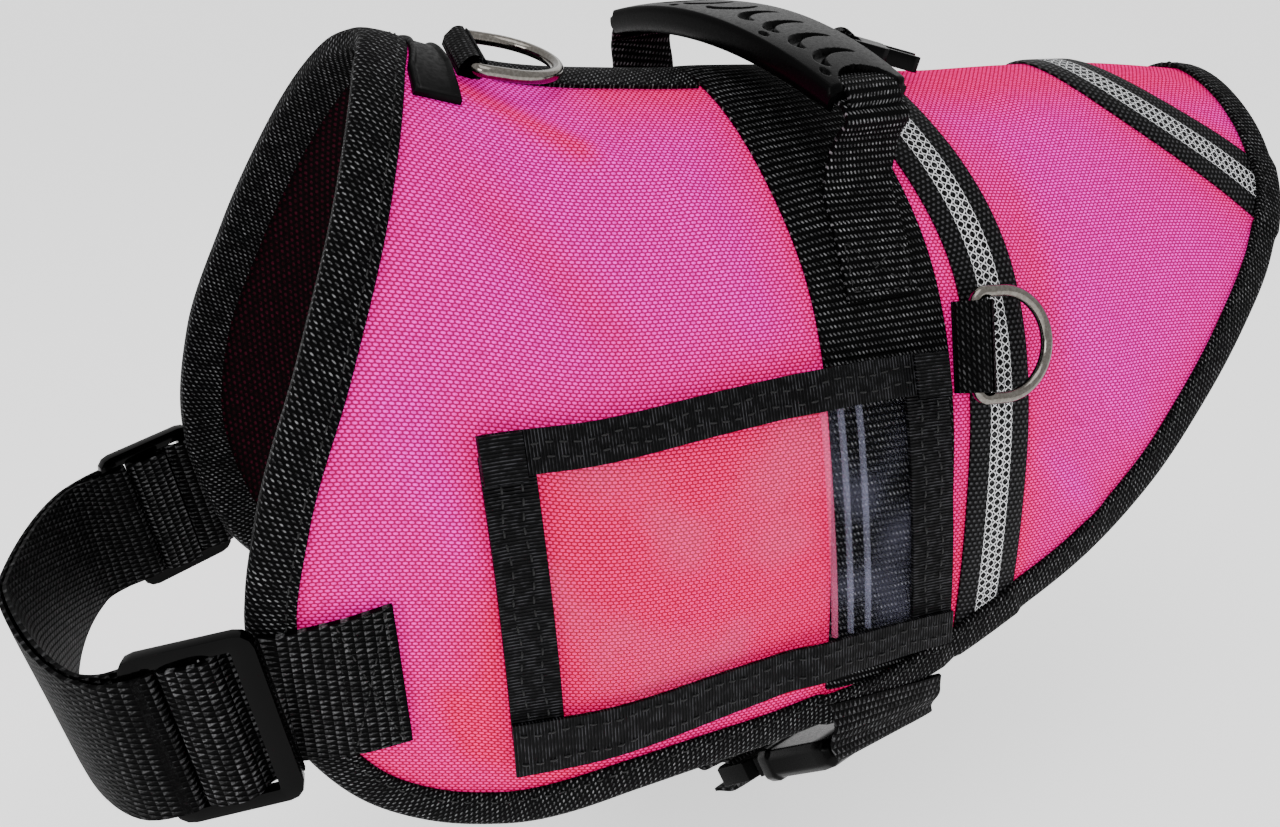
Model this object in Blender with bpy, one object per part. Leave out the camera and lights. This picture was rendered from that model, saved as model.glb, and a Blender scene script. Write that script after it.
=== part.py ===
"""Service dog vest, small size, standing open in its worn shape with no wearer.

The dog would face -Y, its left side is +X and +Z is up. The origin lies on the lining, on the spine
under the handle. Lengths are worked out in millimetres and turned into metres where a mesh is made.
Cloth is drawn flat in two coordinates: y, the station along the back, and v, the girth measured
from the spine round the body, positive on the left. A height h lifts it off the shell's outer face.
"""
import math

import bmesh
import bpy
import numpy as np

MM = 0.001
GAP = 0.3

# Cloth and webbing thicknesses
SHELL = 1.2
LINING = 1.0
WEBBING = 1.5
TAPE = 1.0
LINING_IN = -SHELL - GAP - LINING

# Body form: one row for each station, in the order given here. The barrel is the widest girth line
# and the hem a line lower down, each at a fixed drop below the spine.
STATION_COLUMNS = ("y", "spine_z", "barrel_half", "hem_half")
STATIONS = (
    (-160, 24.0, 63, 50),
    (-130, 20.0, 65, 62),
    (-100, 13.5, 66, 68),
    (-70, 5.0, 67, 71),
    (-35, 1.5, 67, 71),
    (0, 0.0, 67, 70),
    (30, -1.4, 67, 69),
    (60, -3.0, 66, 67),
    (90, -3.0, 64, 64),
    (120, -3.7, 62, 61),
    (175, -9.0, 56, 54),
)
BARREL_DROP = 88.0
HEM_DROP = 172.0
CROWN_LEAD = 19.0
SHOULDER_X = 57.0
SHOULDER_DROP = 26.0
BELOW_HEM = 40.0

# Cut edge of the left half as (y, v), from the neck on the spine round the chest and hem to the tail.
EDGE = (
    (-104, 0), (-108.5, 18), (-121, 58), (-134, 92), (-147, 126), (-152, 155),
    (-149.5, 173), (-142.5, 192), (-130, 206), (-114, 212.5), (-98, 213.5), (-62, 203),
    (-14, 197), (12, 193), (34, 185.5), (58, 174), (87, 159), (108.5, 141),
    (128, 118), (145, 96), (160.5, 74), (169, 55), (171.5, 34), (170, 15), (168.5, 0),
)
EDGE_STEP = 7.2
FACET_SAG = 0.13
WIDEST_FACET = 24.0

# Binding: a 25 mm tape folded over the raw edge
BINDING_FACE = 10.8
BINDING_WALL = 1.0
BINDING_CLEAR = 0.5
BINDING_ROUND = 0.9
CUT_BACK = BINDING_WALL + BINDING_CLEAR

# Straps on the shell: centre lines in the cloth coordinates
SPINE_TAPE_WIDTH = 25.0
SPINE_TAPE_ENDS = (-74.6, -21.6)
GIRTH_WIDTH = 38.0
GIRTH_LINE = ((-11.5, -184), (-11.5, -150), (-11.5, -105), (-10.5, -76), (-6.5, -45), (0, 0),
              (5.5, 38), (10.5, 72), (12, 105), (12.3, 150), (12.5, 184))
REFLECTIVE_WIDTH = 20.0
FRONT_REFLECTIVE = ((30.4, 0), (31.9, 14), (35.4, 30), (39.6, 44), (43.2, 57), (45.8, 70), (47, 85),
                    (47.3, 110), (46.5, 140), (45.5, 185))
REAR_REFLECTIVE = ((108, 0), (110.5, 9), (116, 18.5), (124, 27.5), (134.5, 36), (146, 43.5), (174, 61))

# Neck label and rings
LABEL_Y = (-90.4, -0.12)
LABEL_WIDTH = 11.0
LABEL_HALF = 27.0
LABEL_THICK = 1.6
RING_INSIDE = 25.0
RING_WIRE = 3.2
RING_RISE = 8.5
LOOP_WIDTH = 24.0
LOOP_WALL = 1.0
LOOP_WRAP = math.radians(50)
NECK_RING_AT = (-79.8, 6.0)
NECK_RING_YAW = math.radians(5)
NECK_RING_TILT = math.radians(7)
NECK_LOOP = (3.6, 0.3)
SIDE_RING_AT = (37.0, 92.5)
SIDE_RING_TILT = math.radians(4)
SIDE_LOOP = (5.4, 2.6)

# Pocket, left side: a rectangle turned a little to follow the hem
POCKET_CENTRE = (-33.8, 144.1)
POCKET_SIZE = (127.0, 88.2)
POCKET_TURN_LENGTH = math.radians(6.6)
POCKET_TURN_DEPTH = math.radians(3.2)
POCKET_FRAME = 13.0
POCKET_TOP = 10.2
POCKET_BOTTOM = 15.5
POCKET_TAPER = 5.5
POCKET_BOW = 4.0
POCKET_STEP = 16.0
WINDOW_SHEET = 0.5
FRAME_TAPE = 1.1
POCKET_RAMP = (-22.0, -9.0)
ZIP_RIDGES = (26.0, 31.0, 36.5)
ZIP_RIDGE = (1.8, 1.2)

# Chest tabs and slide adjusters
TAB_ROOT = (-119.5, 166.5)
TAB_SLOPE = 0.24
TAB_LEAN = 0.07
TAB_WIDTH = 38.0
ADJUSTER_HEIGHT = 45.6
ADJUSTER_LENGTH = 29.2
ADJUSTER_BAR = 5.2
ADJUSTER_CENTRE_BAR = 4.6
ADJUSTER_END = 3.6
ADJUSTER_THICK = 3.2
ADJUSTER_CENTRE = (64.8, -160.5, -124.5)
CHEST_SKEW = (0.0, -0.8, 3.0)
ADJUSTER_ALONG = (-0.27, -0.946, -0.176)
ADJUSTER_ACROSS = (0.02, 0.15, -0.98)
CHEST_FRONT_Y = -197.0
CHEST_FRONT_Z = -129.0
CHEST_POINTED = 1.25
CHEST_LEAN = 0.33
FOLD_EASE = 0.3

# Belly belt
BELT_EDGE_V = 187.5
BELT_SLACK = 0.4
BELT_LEFT = ((72.2, 13.5, -168.5), (71.4, 15.3, -172.6), (68.0, 17.6, -175.6), (64.4, 19.4, -176.2))
BELT_RIGHT = ((-73.2, -11, -169), (-71, -10.5, -177), (-63, -9, -187), (-49, -6, -197),
              (-31, -2, -206), (-12, 2.5, -213))
BELT_TWIST = 0.28
BUCKLE_START = (61.0, 20.3, -177.5)
BUCKLE_ALONG = (-0.73, -0.18, -0.62)
BUCKLE_WIDTH = 45.0
FEMALE_LENGTH = 30.0
COLLAR_LENGTH = 6.0
FEMALE_THICK = 9.0
COLLAR_THICK = 10.5
MALE_THICK = 6.0
MALE_ARMS = 8.0
MALE_BASE = 16.0
MALE_SLOT = 5.6

# Handle: an arched grip over webbing, set a little askew as in the photo
GRIP_HALF = 46.5
GRIP_CENTRE = (0.0, 2.2, 14.5)
GRIP_YAW = math.radians(11.4)
GRIP_SLOPE = -0.11
GRIP_ARCH = 0.0033
GRIP_WIDTH = 29.5
GRIP_END_WIDTH = 26.5
GRIP_THICK = 8.4
GRIP_END_THICK = 7.2
GRIP_SECTIONS = 15
CHANNEL_WIDTH = 21.8
CHANNEL_DEPTH = 3.4
HANDLE_WEB_WIDTH = 20.5
HANDLE_WEB_END = 78.0
HANDLE_WEB_LAND = 50.0
HANDLE_WEB_Y = (11.2, -8.5)

# Small buckle half behind the handle
CLIP_BAR = (-1.5, 33.5, 8.6)
CLIP_ALONG = (0.42, 0.86, -0.25)
CLIP_WIDTH = 15.0
CLIP_THICK = 4.4
CLIP_HOLD = 3.0
CLIP_LOOP_WIDTH = 9.0
CLIP_LOOP_WALL = 0.8
CLIP_LOOP_REACH = 15.0
CLIP_LOOP_DROP = 4.3

PINK = (0.96, 0.055, 0.26, 1)
BLACK_CLOTH = (0.012, 0.012, 0.014, 1)
MESH_DARK = (0.05, 0.006, 0.018, 1)
BLACK_PLASTIC = (0.016, 0.016, 0.017, 1)
RUBBER_BLACK = (0.02, 0.02, 0.021, 1)
SILVER_GREY = (0.55, 0.56, 0.57, 1)
NICKEL = (0.74, 0.70, 0.64, 1)
CLEAR_SHEET = (0.85, 0.80, 0.83, 1)


def clear_scene():
    for item in list(bpy.data.objects):
        bpy.data.objects.remove(item, do_unlink=True)


def paint(name, colour, roughness, metallic=0.0):
    material = bpy.data.materials.new(name)
    material.use_nodes = True
    shader = material.node_tree.nodes["Principled BSDF"]
    shader.inputs["Base Color"].default_value = colour
    shader.inputs["Roughness"].default_value = roughness
    shader.inputs["Metallic"].default_value = metallic
    return material


def make_paints():
    return {
        "shell": paint("pink_oxford", PINK, 0.62),
        "lining": paint("dark_mesh", MESH_DARK, 0.85),
        "webbing": paint("black_webbing", BLACK_CLOTH, 0.7),
        "grosgrain": paint("black_grosgrain", BLACK_CLOTH, 0.6),
        "reflective": paint("reflective_webbing", SILVER_GREY, 0.5),
        "plastic": paint("black_plastic", BLACK_PLASTIC, 0.35),
        "rubber": paint("black_rubber", RUBBER_BLACK, 0.55),
        "nickel": paint("nickel_plate", NICKEL, 0.16, 1.0),
        "clear": paint("clear_sheet", CLEAR_SHEET, 0.15),
    }


def add_body(name, points, faces, material, origin=(0, 0, 0)):
    """One closed body from points in millimetres, its faces turned to look outward."""
    mesh = bpy.data.meshes.new(name)
    mesh.from_pydata([tuple(p) for p in (np.asarray(points) - origin) * MM], [], faces)
    form = bmesh.new()
    form.from_mesh(mesh)
    bmesh.ops.recalc_face_normals(form, faces=form.faces[:])
    if form.calc_volume(signed=True) < 0:
        bmesh.ops.reverse_faces(form, faces=form.faces[:])
    form.to_mesh(mesh)
    form.free()
    mesh.materials.append(material)
    mesh.shade_smooth()
    mesh.set_sharp_from_angle(angle=math.radians(35))
    item = bpy.data.objects.new(name, mesh)
    item.location = np.asarray(origin) * MM
    bpy.context.scene.collection.objects.link(item)
    return item


def unit(vector):
    vector = np.asarray(vector, float)
    return vector / np.linalg.norm(vector, axis=-1, keepdims=True)


def hermite(knots, values, at):
    """Smooth curve through a table's values."""
    knots = np.asarray(knots, float)
    values = np.asarray(values, float)
    slopes = np.gradient(values, knots)
    at = np.asarray(at, float)
    span = np.clip(np.searchsorted(knots, at) - 1, 0, len(knots) - 2)
    step = knots[span + 1] - knots[span]
    t = (at - knots[span]) / step
    return ((2 * t**3 - 3 * t**2 + 1) * values[span] + (t**3 - 2 * t**2 + t) * step * slopes[span]
            + (3 * t**2 - 2 * t**3) * values[span + 1] + (t**3 - t**2) * step * slopes[span + 1])


def station_value(column, y):
    rows = np.array(STATIONS, float)
    return hermite(rows[:, 0], rows[:, STATION_COLUMNS.index(column)], y)


def bezier(p0, p1, p2, p3, t):
    s = 1 - t
    return s**3 * p0 + 3 * s * s * t * p1 + 3 * s * t * t * p2 + t**3 * p3


def half_sections(y):
    """Half width and drop below the spine along the cloth, a row for each station asked for."""
    barrel = station_value("barrel_half", y)[:, None]
    hem = station_value("hem_half", y)[:, None]
    size = barrel / 66
    one = np.ones_like(barrel)
    t = np.linspace(0, 1, 60)[None]
    crown_x = bezier(0, CROWN_LEAD * size, SHOULDER_X * size, barrel, t)
    crown_drop = bezier(0, 0, SHOULDER_DROP, BARREL_DROP, t) * one
    t = np.linspace(0, 1, 40)[None][:, 1:]
    lead = (barrel - SHOULDER_X * size) / (BARREL_DROP - SHOULDER_DROP)
    flank_x = bezier(barrel, barrel + lead * 30, hem + 3, hem, t)
    flank_drop = bezier(BARREL_DROP, BARREL_DROP + 30, HEM_DROP - 30, HEM_DROP, t) * one
    last_x = hem - 0.1 * BELOW_HEM
    last_drop = (HEM_DROP + BELOW_HEM) * one
    return (np.concatenate([crown_x, flank_x, last_x], 1),
            np.concatenate([crown_drop, flank_drop, last_drop], 1))


def on_form(y, v):
    """Points of the shell's outer face."""
    y, v = np.broadcast_arrays(np.atleast_1d(np.asarray(y, float)), np.asarray(v, float))
    x, drop = half_sections(y)
    run = np.concatenate([np.zeros((len(y), 1)),
                          np.cumsum(np.hypot(np.diff(x, axis=1), np.diff(drop, axis=1)), 1)], 1)
    half = np.array([np.interp(abs(v[i]), run[i], x[i]) for i in range(len(y))])
    down = np.array([np.interp(abs(v[i]), run[i], drop[i]) for i in range(len(y))])
    return np.stack([np.sign(v) * half, y, station_value("spine_z", y) - LINING_IN - down], 1)


def outward(y, v, step=0.5):
    along = on_form(y + step, v) - on_form(y - step, v)
    round_body = on_form(y, v + step) - on_form(y, v - step)
    return unit(np.cross(round_body, along))


def place(y, v, h):
    y, v = np.broadcast_arrays(np.atleast_1d(np.asarray(y, float)), np.asarray(v, float))
    h = np.broadcast_to(np.asarray(h, float), y.shape)
    return on_form(y, v) + outward(y, v) * h[:, None]


def cut_lines(low, high, turning, widest):
    """Lines spaced so that a flat facet between two of them leaves the form by no more than the sag."""
    lines = [low]
    while lines[-1] < high:
        step = min(widest, math.sqrt(8 * FACET_SAG / max(turning(lines[-1]), 1e-6)))
        lines.append(lines[-1] + step)
    return lines


def turning_round(v):
    y = np.array([-120.0, -40.0, 40.0, 120.0])
    turn = np.linalg.norm(outward(y, np.full(4, v + 8.0)) - outward(y, np.full(4, v)), axis=1)
    return float(turn.max() / 8)


def turning_along(y):
    v = np.array([2.0, 60.0, 120.0, 180.0])
    turn = np.linalg.norm(outward(np.full(4, y + 8.0), v) - outward(np.full(4, y), v), axis=1)
    return float(turn.max() / 8)


def make_grid():
    half = cut_lines(0.0, 215.0, turning_round, WIDEST_FACET)
    return cut_lines(-150.0, 176.0, turning_along, WIDEST_FACET), sorted({-v for v in half} | set(half))


def smooth_path(rows, step, closed=False):
    """Points at even steps along a smooth curve through the rows."""
    rows = np.asarray(rows, float)
    if closed:
        rows = np.vstack([rows[-3:], rows, rows[:3]])
    run = np.concatenate([[0], np.cumsum(np.linalg.norm(np.diff(rows, axis=0), axis=1))])
    low, high = (run[3], run[-3]) if closed else (run[0], run[-1])
    count = max(2, int(round((high - low) / step)))
    at = np.linspace(low, high, count + 1)
    points = np.stack([hermite(run, rows[:, k], at) for k in range(rows.shape[1])], 1)
    return points[:-1] if closed else points


def edge_loop():
    """The whole cut edge, left half then right half, as a closed loop."""
    left = list(EDGE)
    right = [(y, -v) for y, v in reversed(EDGE[1:-1])]
    return smooth_path(left + right, EDGE_STEP, closed=True)


def inward(loop):
    """Unit steps into the cloth at each point of the edge loop."""
    along = unit(np.roll(loop, -1, axis=0) - np.roll(loop, 1, axis=0))
    side = np.stack([-along[:, 1], along[:, 0]], 1)
    area = np.sum(loop[:, 0] * np.roll(loop[:, 1], -1) - np.roll(loop[:, 0], -1) * loop[:, 1])
    return side if area > 0 else -side


def inset(loop, distance):
    return loop + inward(loop) * distance


def inside(loop, point):
    """Whether a flat point lies in a closed loop."""
    y, v = point
    nxt = np.roll(loop, -1, axis=0)
    spans = (loop[:, 1] > v) != (nxt[:, 1] > v)
    rise = np.where(nxt[:, 1] == loop[:, 1], 1e-9, nxt[:, 1] - loop[:, 1])
    cross = loop[:, 0] + (v - loop[:, 1]) / rise * (nxt[:, 0] - loop[:, 0])
    return bool(np.count_nonzero(spans & (y < cross)) % 2)


def height_at(height, y, v):
    return height(y, v) if callable(height) else np.full(len(y), float(height))


def sheet(name, outline, low, high, material, extra_y=()):
    """A cloth piece cut to an outline, its wall reaching from height low to height high."""
    flat = bmesh.new()
    flat.faces.new([flat.verts.new((y, v, 0)) for y, v in outline])
    points = np.asarray(outline)
    lines_y, lines_v = GRID
    for axis, lines in ((0, list(lines_y) + list(extra_y)), (1, lines_v)):
        for line in lines:
            if points[:, axis].min() + 0.2 < line < points[:, axis].max() - 0.2:
                at = [0, 0, 0]
                at[axis] = line
                facing = [0, 0, 0]
                facing[axis] = 1
                parts = flat.verts[:] + flat.edges[:] + flat.faces[:]
                bmesh.ops.bisect_plane(flat, geom=parts, dist=0.02, plane_co=at, plane_no=facing)
    bmesh.ops.triangulate(flat, faces=flat.faces[:])
    flat.verts.index_update()
    y = np.array([p.co.x for p in flat.verts])
    v = np.array([p.co.y for p in flat.verts])
    count = len(y)
    upper = place(y, v, height_at(high, y, v))
    lower = place(y, v, height_at(low, y, v))
    faces = [tuple(p.index for p in face.verts) for face in flat.faces]
    under = [tuple(count + i for i in reversed(face)) for face in faces]
    walls = []
    for edge in flat.edges:
        if edge.is_boundary:
            loop = edge.link_loops[0]
            a = loop.vert.index
            b = loop.link_loop_next.vert.index
            walls.append((b, a, count + a, count + b))
    flat.free()
    return add_body(name, np.vstack([upper, lower]), faces + under + walls, material)


def swept(name, sections, material, closed=False, origin=(0, 0, 0)):
    """A solid through equal point rings; capped at the ends unless it closes on itself."""
    sections = np.asarray(sections, float)
    rings, count = sections.shape[:2]
    faces = []
    for i in range(rings if closed else rings - 1):
        j = (i + 1) % rings
        for k in range(count):
            m = (k + 1) % count
            faces.append((i * count + k, i * count + m, j * count + m, j * count + k))
    if not closed:
        faces.append(tuple(range(count)))
        faces.append(tuple((rings - 1) * count + k for k in reversed(range(count))))
    return add_body(name, sections.reshape(-1, 3), faces, material, origin)


def strap_outline(path, width, limit, start=True, end=True):
    """Outline of a strap laid along a path, its ends held just inside the limit loop."""
    along = unit(np.gradient(path, axis=0))
    side = np.stack([-along[:, 1], along[:, 0]], 1) * width / 2
    edges = []
    for edge in (path + side, path - side):
        kept = [p for p in edge if inside(limit, p)]
        first = next(i for i, p in enumerate(edge) if inside(limit, p))
        last = first + len(kept) - 1
        if start and first > 0:
            kept.insert(0, crossing(limit, edge[first], edge[first - 1]))
        if end and last + 1 < len(edge):
            kept.append(crossing(limit, edge[last], edge[last + 1]))
        edges.append(kept)
    return np.array(edges[0] + edges[1][::-1])


def crossing(limit, within, beyond):
    for _ in range(12):
        middle = (within + beyond) / 2
        if inside(limit, middle):
            within = middle
        else:
            beyond = middle
    return within


def rectangle(centre, size, corner=0.0):
    """Flat outline of a rectangle, its corners cut by arcs when corner is set."""
    half_a, half_b = size[0] / 2, size[1] / 2
    points = []
    for sign_a, sign_b, first in ((1, -1, -90), (1, 1, 0), (-1, 1, 90), (-1, -1, 180)):
        angles = [math.radians(first + k * 30) for k in range(4)] if corner else [0.0]
        for angle in angles:
            a = sign_a * (half_a - corner) + corner * (math.cos(angle) if corner else 0)
            b = sign_b * (half_b - corner) + corner * (math.sin(angle) if corner else 0)
            points.append((centre[0] + a, centre[1] + b))
    return np.array(points)


def build_panels(loop, paints):
    cut = inset(loop, CUT_BACK)
    sheet("shell_panel", cut, -SHELL, 0.0, paints["shell"])
    sheet("lining_panel", cut, LINING_IN, -SHELL - GAP, paints["lining"])


def build_binding(loop, paints):
    """The folded tape round the whole edge, swept as a U section."""
    top = BINDING_CLEAR + BINDING_WALL
    low = LINING_IN - BINDING_CLEAR - BINDING_WALL
    section = ((BINDING_FACE, top), (BINDING_ROUND, top), (0, top - BINDING_ROUND),
               (0, low + BINDING_ROUND), (BINDING_ROUND, low), (BINDING_FACE, low),
               (BINDING_FACE, low + BINDING_WALL), (BINDING_WALL, low + BINDING_WALL),
               (BINDING_WALL, BINDING_CLEAR), (BINDING_FACE, BINDING_CLEAR))
    steps = inward(loop)
    rings = []
    for into, height in section:
        at = loop + steps * into
        rings.append(place(at[:, 0], at[:, 1], height))
    swept("edge_binding", np.stack(rings, 1), paints["webbing"], closed=True)


def build_straps(limit, paints):
    webbing = paints["webbing"]
    start, end = SPINE_TAPE_ENDS
    tape = rectangle(((start + end) / 2, 0), (end - start, SPINE_TAPE_WIDTH))
    sheet("spine_tape", tape, GAP, GAP + TAPE, webbing)
    girth = smooth_path(GIRTH_LINE, 7.0)
    sheet("girth_band", strap_outline(girth, GIRTH_WIDTH, limit), GAP, GAP + WEBBING, webbing)
    for name, line in (("front_reflective_strap", FRONT_REFLECTIVE),
                       ("rear_reflective_strap", REAR_REFLECTIVE)):
        whole = [(y, -v) for y, v in reversed(line[1:])] + list(line)
        path = smooth_path(whole, 7.0)
        outline = strap_outline(path, REFLECTIVE_WIDTH, limit)
        sheet(name, outline, GAP, GAP + TAPE, paints["reflective"])


def build_label(limit, paints):
    """A strip across the spine, its neck edge cut back where the binding lies."""
    across, lean = LABEL_Y
    v = np.linspace(-LABEL_HALF, LABEL_HALF, 9)
    path = np.stack([across + lean * (np.abs(v) - 12).clip(0), v], 1)
    neck = path - (LABEL_WIDTH / 2, 0)
    bound = [crossing(limit, path[i] + (20, 0), path[i] - (40, 0))[0] for i in range(len(path))]
    neck[:, 0] = np.maximum(neck[:, 0], bound)
    outline = np.vstack([path + (LABEL_WIDTH / 2, 0), neck[::-1]])
    sheet("rubber_label", outline, GAP, GAP + LABEL_THICK, paints["rubber"])


def pocket_height(base):
    """Height of a pocket layer: on the shell at the neck end, on the girth band at the tail end."""
    def height(y, v):
        share = np.clip((y - POCKET_RAMP[0]) / (POCKET_RAMP[1] - POCKET_RAMP[0]), 0, 1)
        return base + share * (GAP + WEBBING)
    return height


def pocket_point(a, b):
    """Where a point lies that is given along and across the pocket, which bows up in its middle."""
    b = b - POCKET_BOW * (1 - (2 * a / POCKET_SIZE[0])**2)
    return (POCKET_CENTRE[0] + a * math.cos(POCKET_TURN_LENGTH) + b * math.sin(POCKET_TURN_DEPTH),
            POCKET_CENTRE[1] - a * math.sin(POCKET_TURN_LENGTH) + b * math.cos(POCKET_TURN_DEPTH))


def pocket_piece(name, corners, low, high, material):
    """A pocket layer, its corners given along and across the pocket from its centre."""
    outline = []
    for (a0, b0), (a1, b1) in zip(corners, corners[1:] + corners[:1]):
        count = max(1, round(abs(a1 - a0) / POCKET_STEP))
        outline += [pocket_point(a0 + (a1 - a0) * i / count, b0 + (b1 - b0) * i / count)
                    for i in range(count)]
    return sheet(name, outline, pocket_height(low), pocket_height(high), material, POCKET_RAMP)


def spans(start, end, low, high):
    """Corners of a rectangle between two stations and two depths."""
    return (start, low), (end, low), (end, high), (start, high)


def build_pocket(paints):
    length, depth = POCKET_SIZE
    half = length / 2
    top = POCKET_TOP - depth / 2
    bottom = depth / 2 - POCKET_BOTTOM
    side = half - POCKET_FRAME
    margin = POCKET_FRAME / 2
    window = spans(margin - half, half - margin, top - margin, bottom + margin)
    pocket_piece("pocket_window", window, GAP, GAP + WINDOW_SHEET, paints["clear"])
    low = GAP + WINDOW_SHEET + GAP
    high = low + FRAME_TAPE
    grosgrain = paints["grosgrain"]
    pocket_piece("pocket_frame_top", spans(-half, half, -depth / 2, top), low, high, grosgrain)
    lowest = (-half, bottom), (half, bottom), (half, depth / 2 - POCKET_TAPER), (-half, depth / 2)
    pocket_piece("pocket_frame_bottom", lowest, low, high, grosgrain)
    front = spans(-half, -side, top + GAP, bottom - GAP)
    pocket_piece("pocket_frame_front", front, low, high, grosgrain)
    rear = spans(side, half, top + GAP, bottom - GAP)
    pocket_piece("pocket_frame_rear", rear, low, high, grosgrain)
    wide, tall = ZIP_RIDGE
    for index, a in enumerate(ZIP_RIDGES):
        ridge = spans(a - wide / 2, a + wide / 2, top + GAP, bottom - GAP)
        pocket_piece("pocket_zip_ridge_" + str(index + 1), ridge, low, low + tall, paints["clear"])


def wire_ring(centre, across, out, normal):
    """Section rings of a D ring: a straight bar along across, the bow reaching along out."""
    radius = (RING_INSIDE + RING_WIRE) / 2
    corner = 3.0
    path = [(-radius + corner, 0.0), (radius - corner, 0.0)]
    path += [(radius - corner + corner * math.sin(t), corner - corner * math.cos(t))
             for t in np.radians((30, 60, 90))]
    path += [(radius * math.cos(t), RING_RISE + radius * math.sin(t))
             for t in np.radians(range(0, 181, 18))]
    path += [(-radius + corner - corner * math.sin(t), corner - corner * math.cos(t))
             for t in np.radians((90, 60, 30))]
    path = np.array(path)
    rings = []
    for i, (a, b) in enumerate(path):
        tangent = unit(unit(path[(i + 1) % len(path)] - path[i]) + unit(path[i] - path[i - 1]))
        ring = []
        for turn in np.radians(range(0, 360, 45)):
            shift = math.cos(turn) * RING_WIRE / 2
            ring.append(centre + across * (a + tangent[1] * shift) + out * (b - tangent[0] * shift)
                        + normal * math.sin(turn) * RING_WIRE / 2)
        rings.append(ring)
    return rings


def fold_sections(bar, axes, hold, wall, run, width, ends=None):
    """Webbing folded round a bar: the run is how far both layers reach back and the slack in front.

    The ends, where given, are the heights of the lower and upper layer at the back.
    """
    out, across, normal = axes
    reach, slack = run
    outer = hold + wall
    low, high = ends if ends else (-hold, GAP - hold)
    turns = np.radians(range(30, 180, 30))
    wraps = (0.0, LOOP_WRAP / 2, LOOP_WRAP)
    line = [(-reach, low), (0.0, -hold), (slack, -hold)]
    line += [(slack + hold * math.sin(t), -hold * math.cos(t)) for t in turns]
    line += [(slack, hold)] + [(-hold * math.sin(t), hold * math.cos(t)) for t in wraps]
    line += [(-reach, high), (-reach, high + wall)]
    line += [(-outer * math.sin(t), outer * math.cos(t)) for t in reversed(wraps)] + [(slack, outer)]
    line += [(slack + outer * math.sin(t), outer * math.cos(t)) for t in turns]
    line += [(slack, -outer), (0.0, -outer), (-reach, low - wall)]
    profile = np.array(line)
    return [bar + across * side + profile[:, :1] * out + profile[:, 1:] * normal
            for side in (-width / 2, width / 2)]


def ring_set(name, at, yaw, tilt, run, ground, paints):
    """A D ring and its sewn loop on the shell at (y, v), the bow pointing tailwards."""
    y, v = at
    hold = RING_WIRE / 2 + GAP
    bar = place(y, v, ground + GAP + LOOP_WALL + hold)[0]
    normal = outward(np.array([float(y)]), np.array([float(v)]))[0]
    ahead = on_form(y + 2 * math.cos(yaw), v + 2 * math.sin(yaw))[0] - on_form(y, v)[0]
    ahead = unit(ahead - normal * np.dot(ahead, normal))
    across = np.cross(normal, ahead)
    bow = ahead * math.cos(tilt) + normal * math.sin(tilt)
    rise = normal * math.cos(tilt) - ahead * math.sin(tilt)
    swept(name + "_ring", wire_ring(bar, across, bow, rise), paints["nickel"], True, bar)
    loop = fold_sections(bar, (ahead, across, normal), hold, LOOP_WALL, run, LOOP_WIDTH)
    swept(name + "_loop", loop, paints["webbing"])


def ribbon(name, points, across, normals, width, thick, material, closed=False):
    """A strap swept through points, with its width direction and its face direction at each."""
    corners = ((-1, -1), (1, -1), (1, 1), (-1, 1))
    rings = [[p + w * s * width / 2 + n * t * thick / 2 for s, t in corners]
             for p, w, n in zip(points, unit(across), unit(normals))]
    return swept(name, rings, material, closed)


def plate(name, start, axes, loops, thick, material, origin=(0, 0, 0)):
    """A flat plate of the given thickness, the first loop its outline and the rest its holes."""
    flat = bmesh.new()
    edges = []
    for loop in loops:
        verts = [flat.verts.new((a, b, 0)) for a, b in loop]
        edges += [flat.edges.new((verts[i - 1], verts[i])) for i in range(len(verts))]
    bmesh.ops.triangle_fill(flat, use_beauty=True, use_dissolve=False, edges=edges)
    flat.verts.index_update()
    along, across, face = axes
    points = []
    for lift in (-thick / 2, thick / 2):
        points += [start + along * p.co.x + across * p.co.y + face * lift for p in flat.verts]
    count = len(flat.verts)
    faces = [tuple(p.index for p in f.verts) for f in flat.faces]
    under = [tuple(count + i for i in reversed(f)) for f in faces]
    walls = [(e.verts[0].index, e.verts[1].index, count + e.verts[1].index, count + e.verts[0].index)
             for e in flat.edges if e.is_boundary]
    flat.free()
    return add_body(name, points, faces + under + walls, material, origin)


def mirrored(vector, side):
    return np.array([vector[0] * side, vector[1], vector[2]], float)


def adjuster_axes(side):
    """Centre of an adjuster, and its directions: along the strap, across it and out of its face."""
    along = unit(mirrored(ADJUSTER_ALONG, side))
    across = mirrored(ADJUSTER_ACROSS, side)
    across = unit(across - along * np.dot(across, along))
    face = np.cross(across, along)
    centre = mirrored(ADJUSTER_CENTRE, side) + np.array(CHEST_SKEW) * side
    return centre, along, across, face if face[0] * side > 0 else -face


def slot_edges():
    return ADJUSTER_CENTRE_BAR / 2, ADJUSTER_LENGTH / 2 - ADJUSTER_BAR


def build_adjuster(side, name, paints):
    """Slide adjuster: a frame with two slots either side of a centre bar."""
    centre, along, across, face = adjuster_axes(side)
    near, far = slot_edges()
    loops = [rectangle((0, 0), (ADJUSTER_LENGTH, ADJUSTER_HEIGHT), 4.0)]
    for sign in (-1, 1):
        size = (far - near, ADJUSTER_HEIGHT - 2 * ADJUSTER_END)
        loops.append(rectangle((sign * (near + far) / 2, 0), size, 0.5))
    plate(name, centre, (along, across, face), loops, ADJUSTER_THICK, paints["plastic"])


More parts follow.
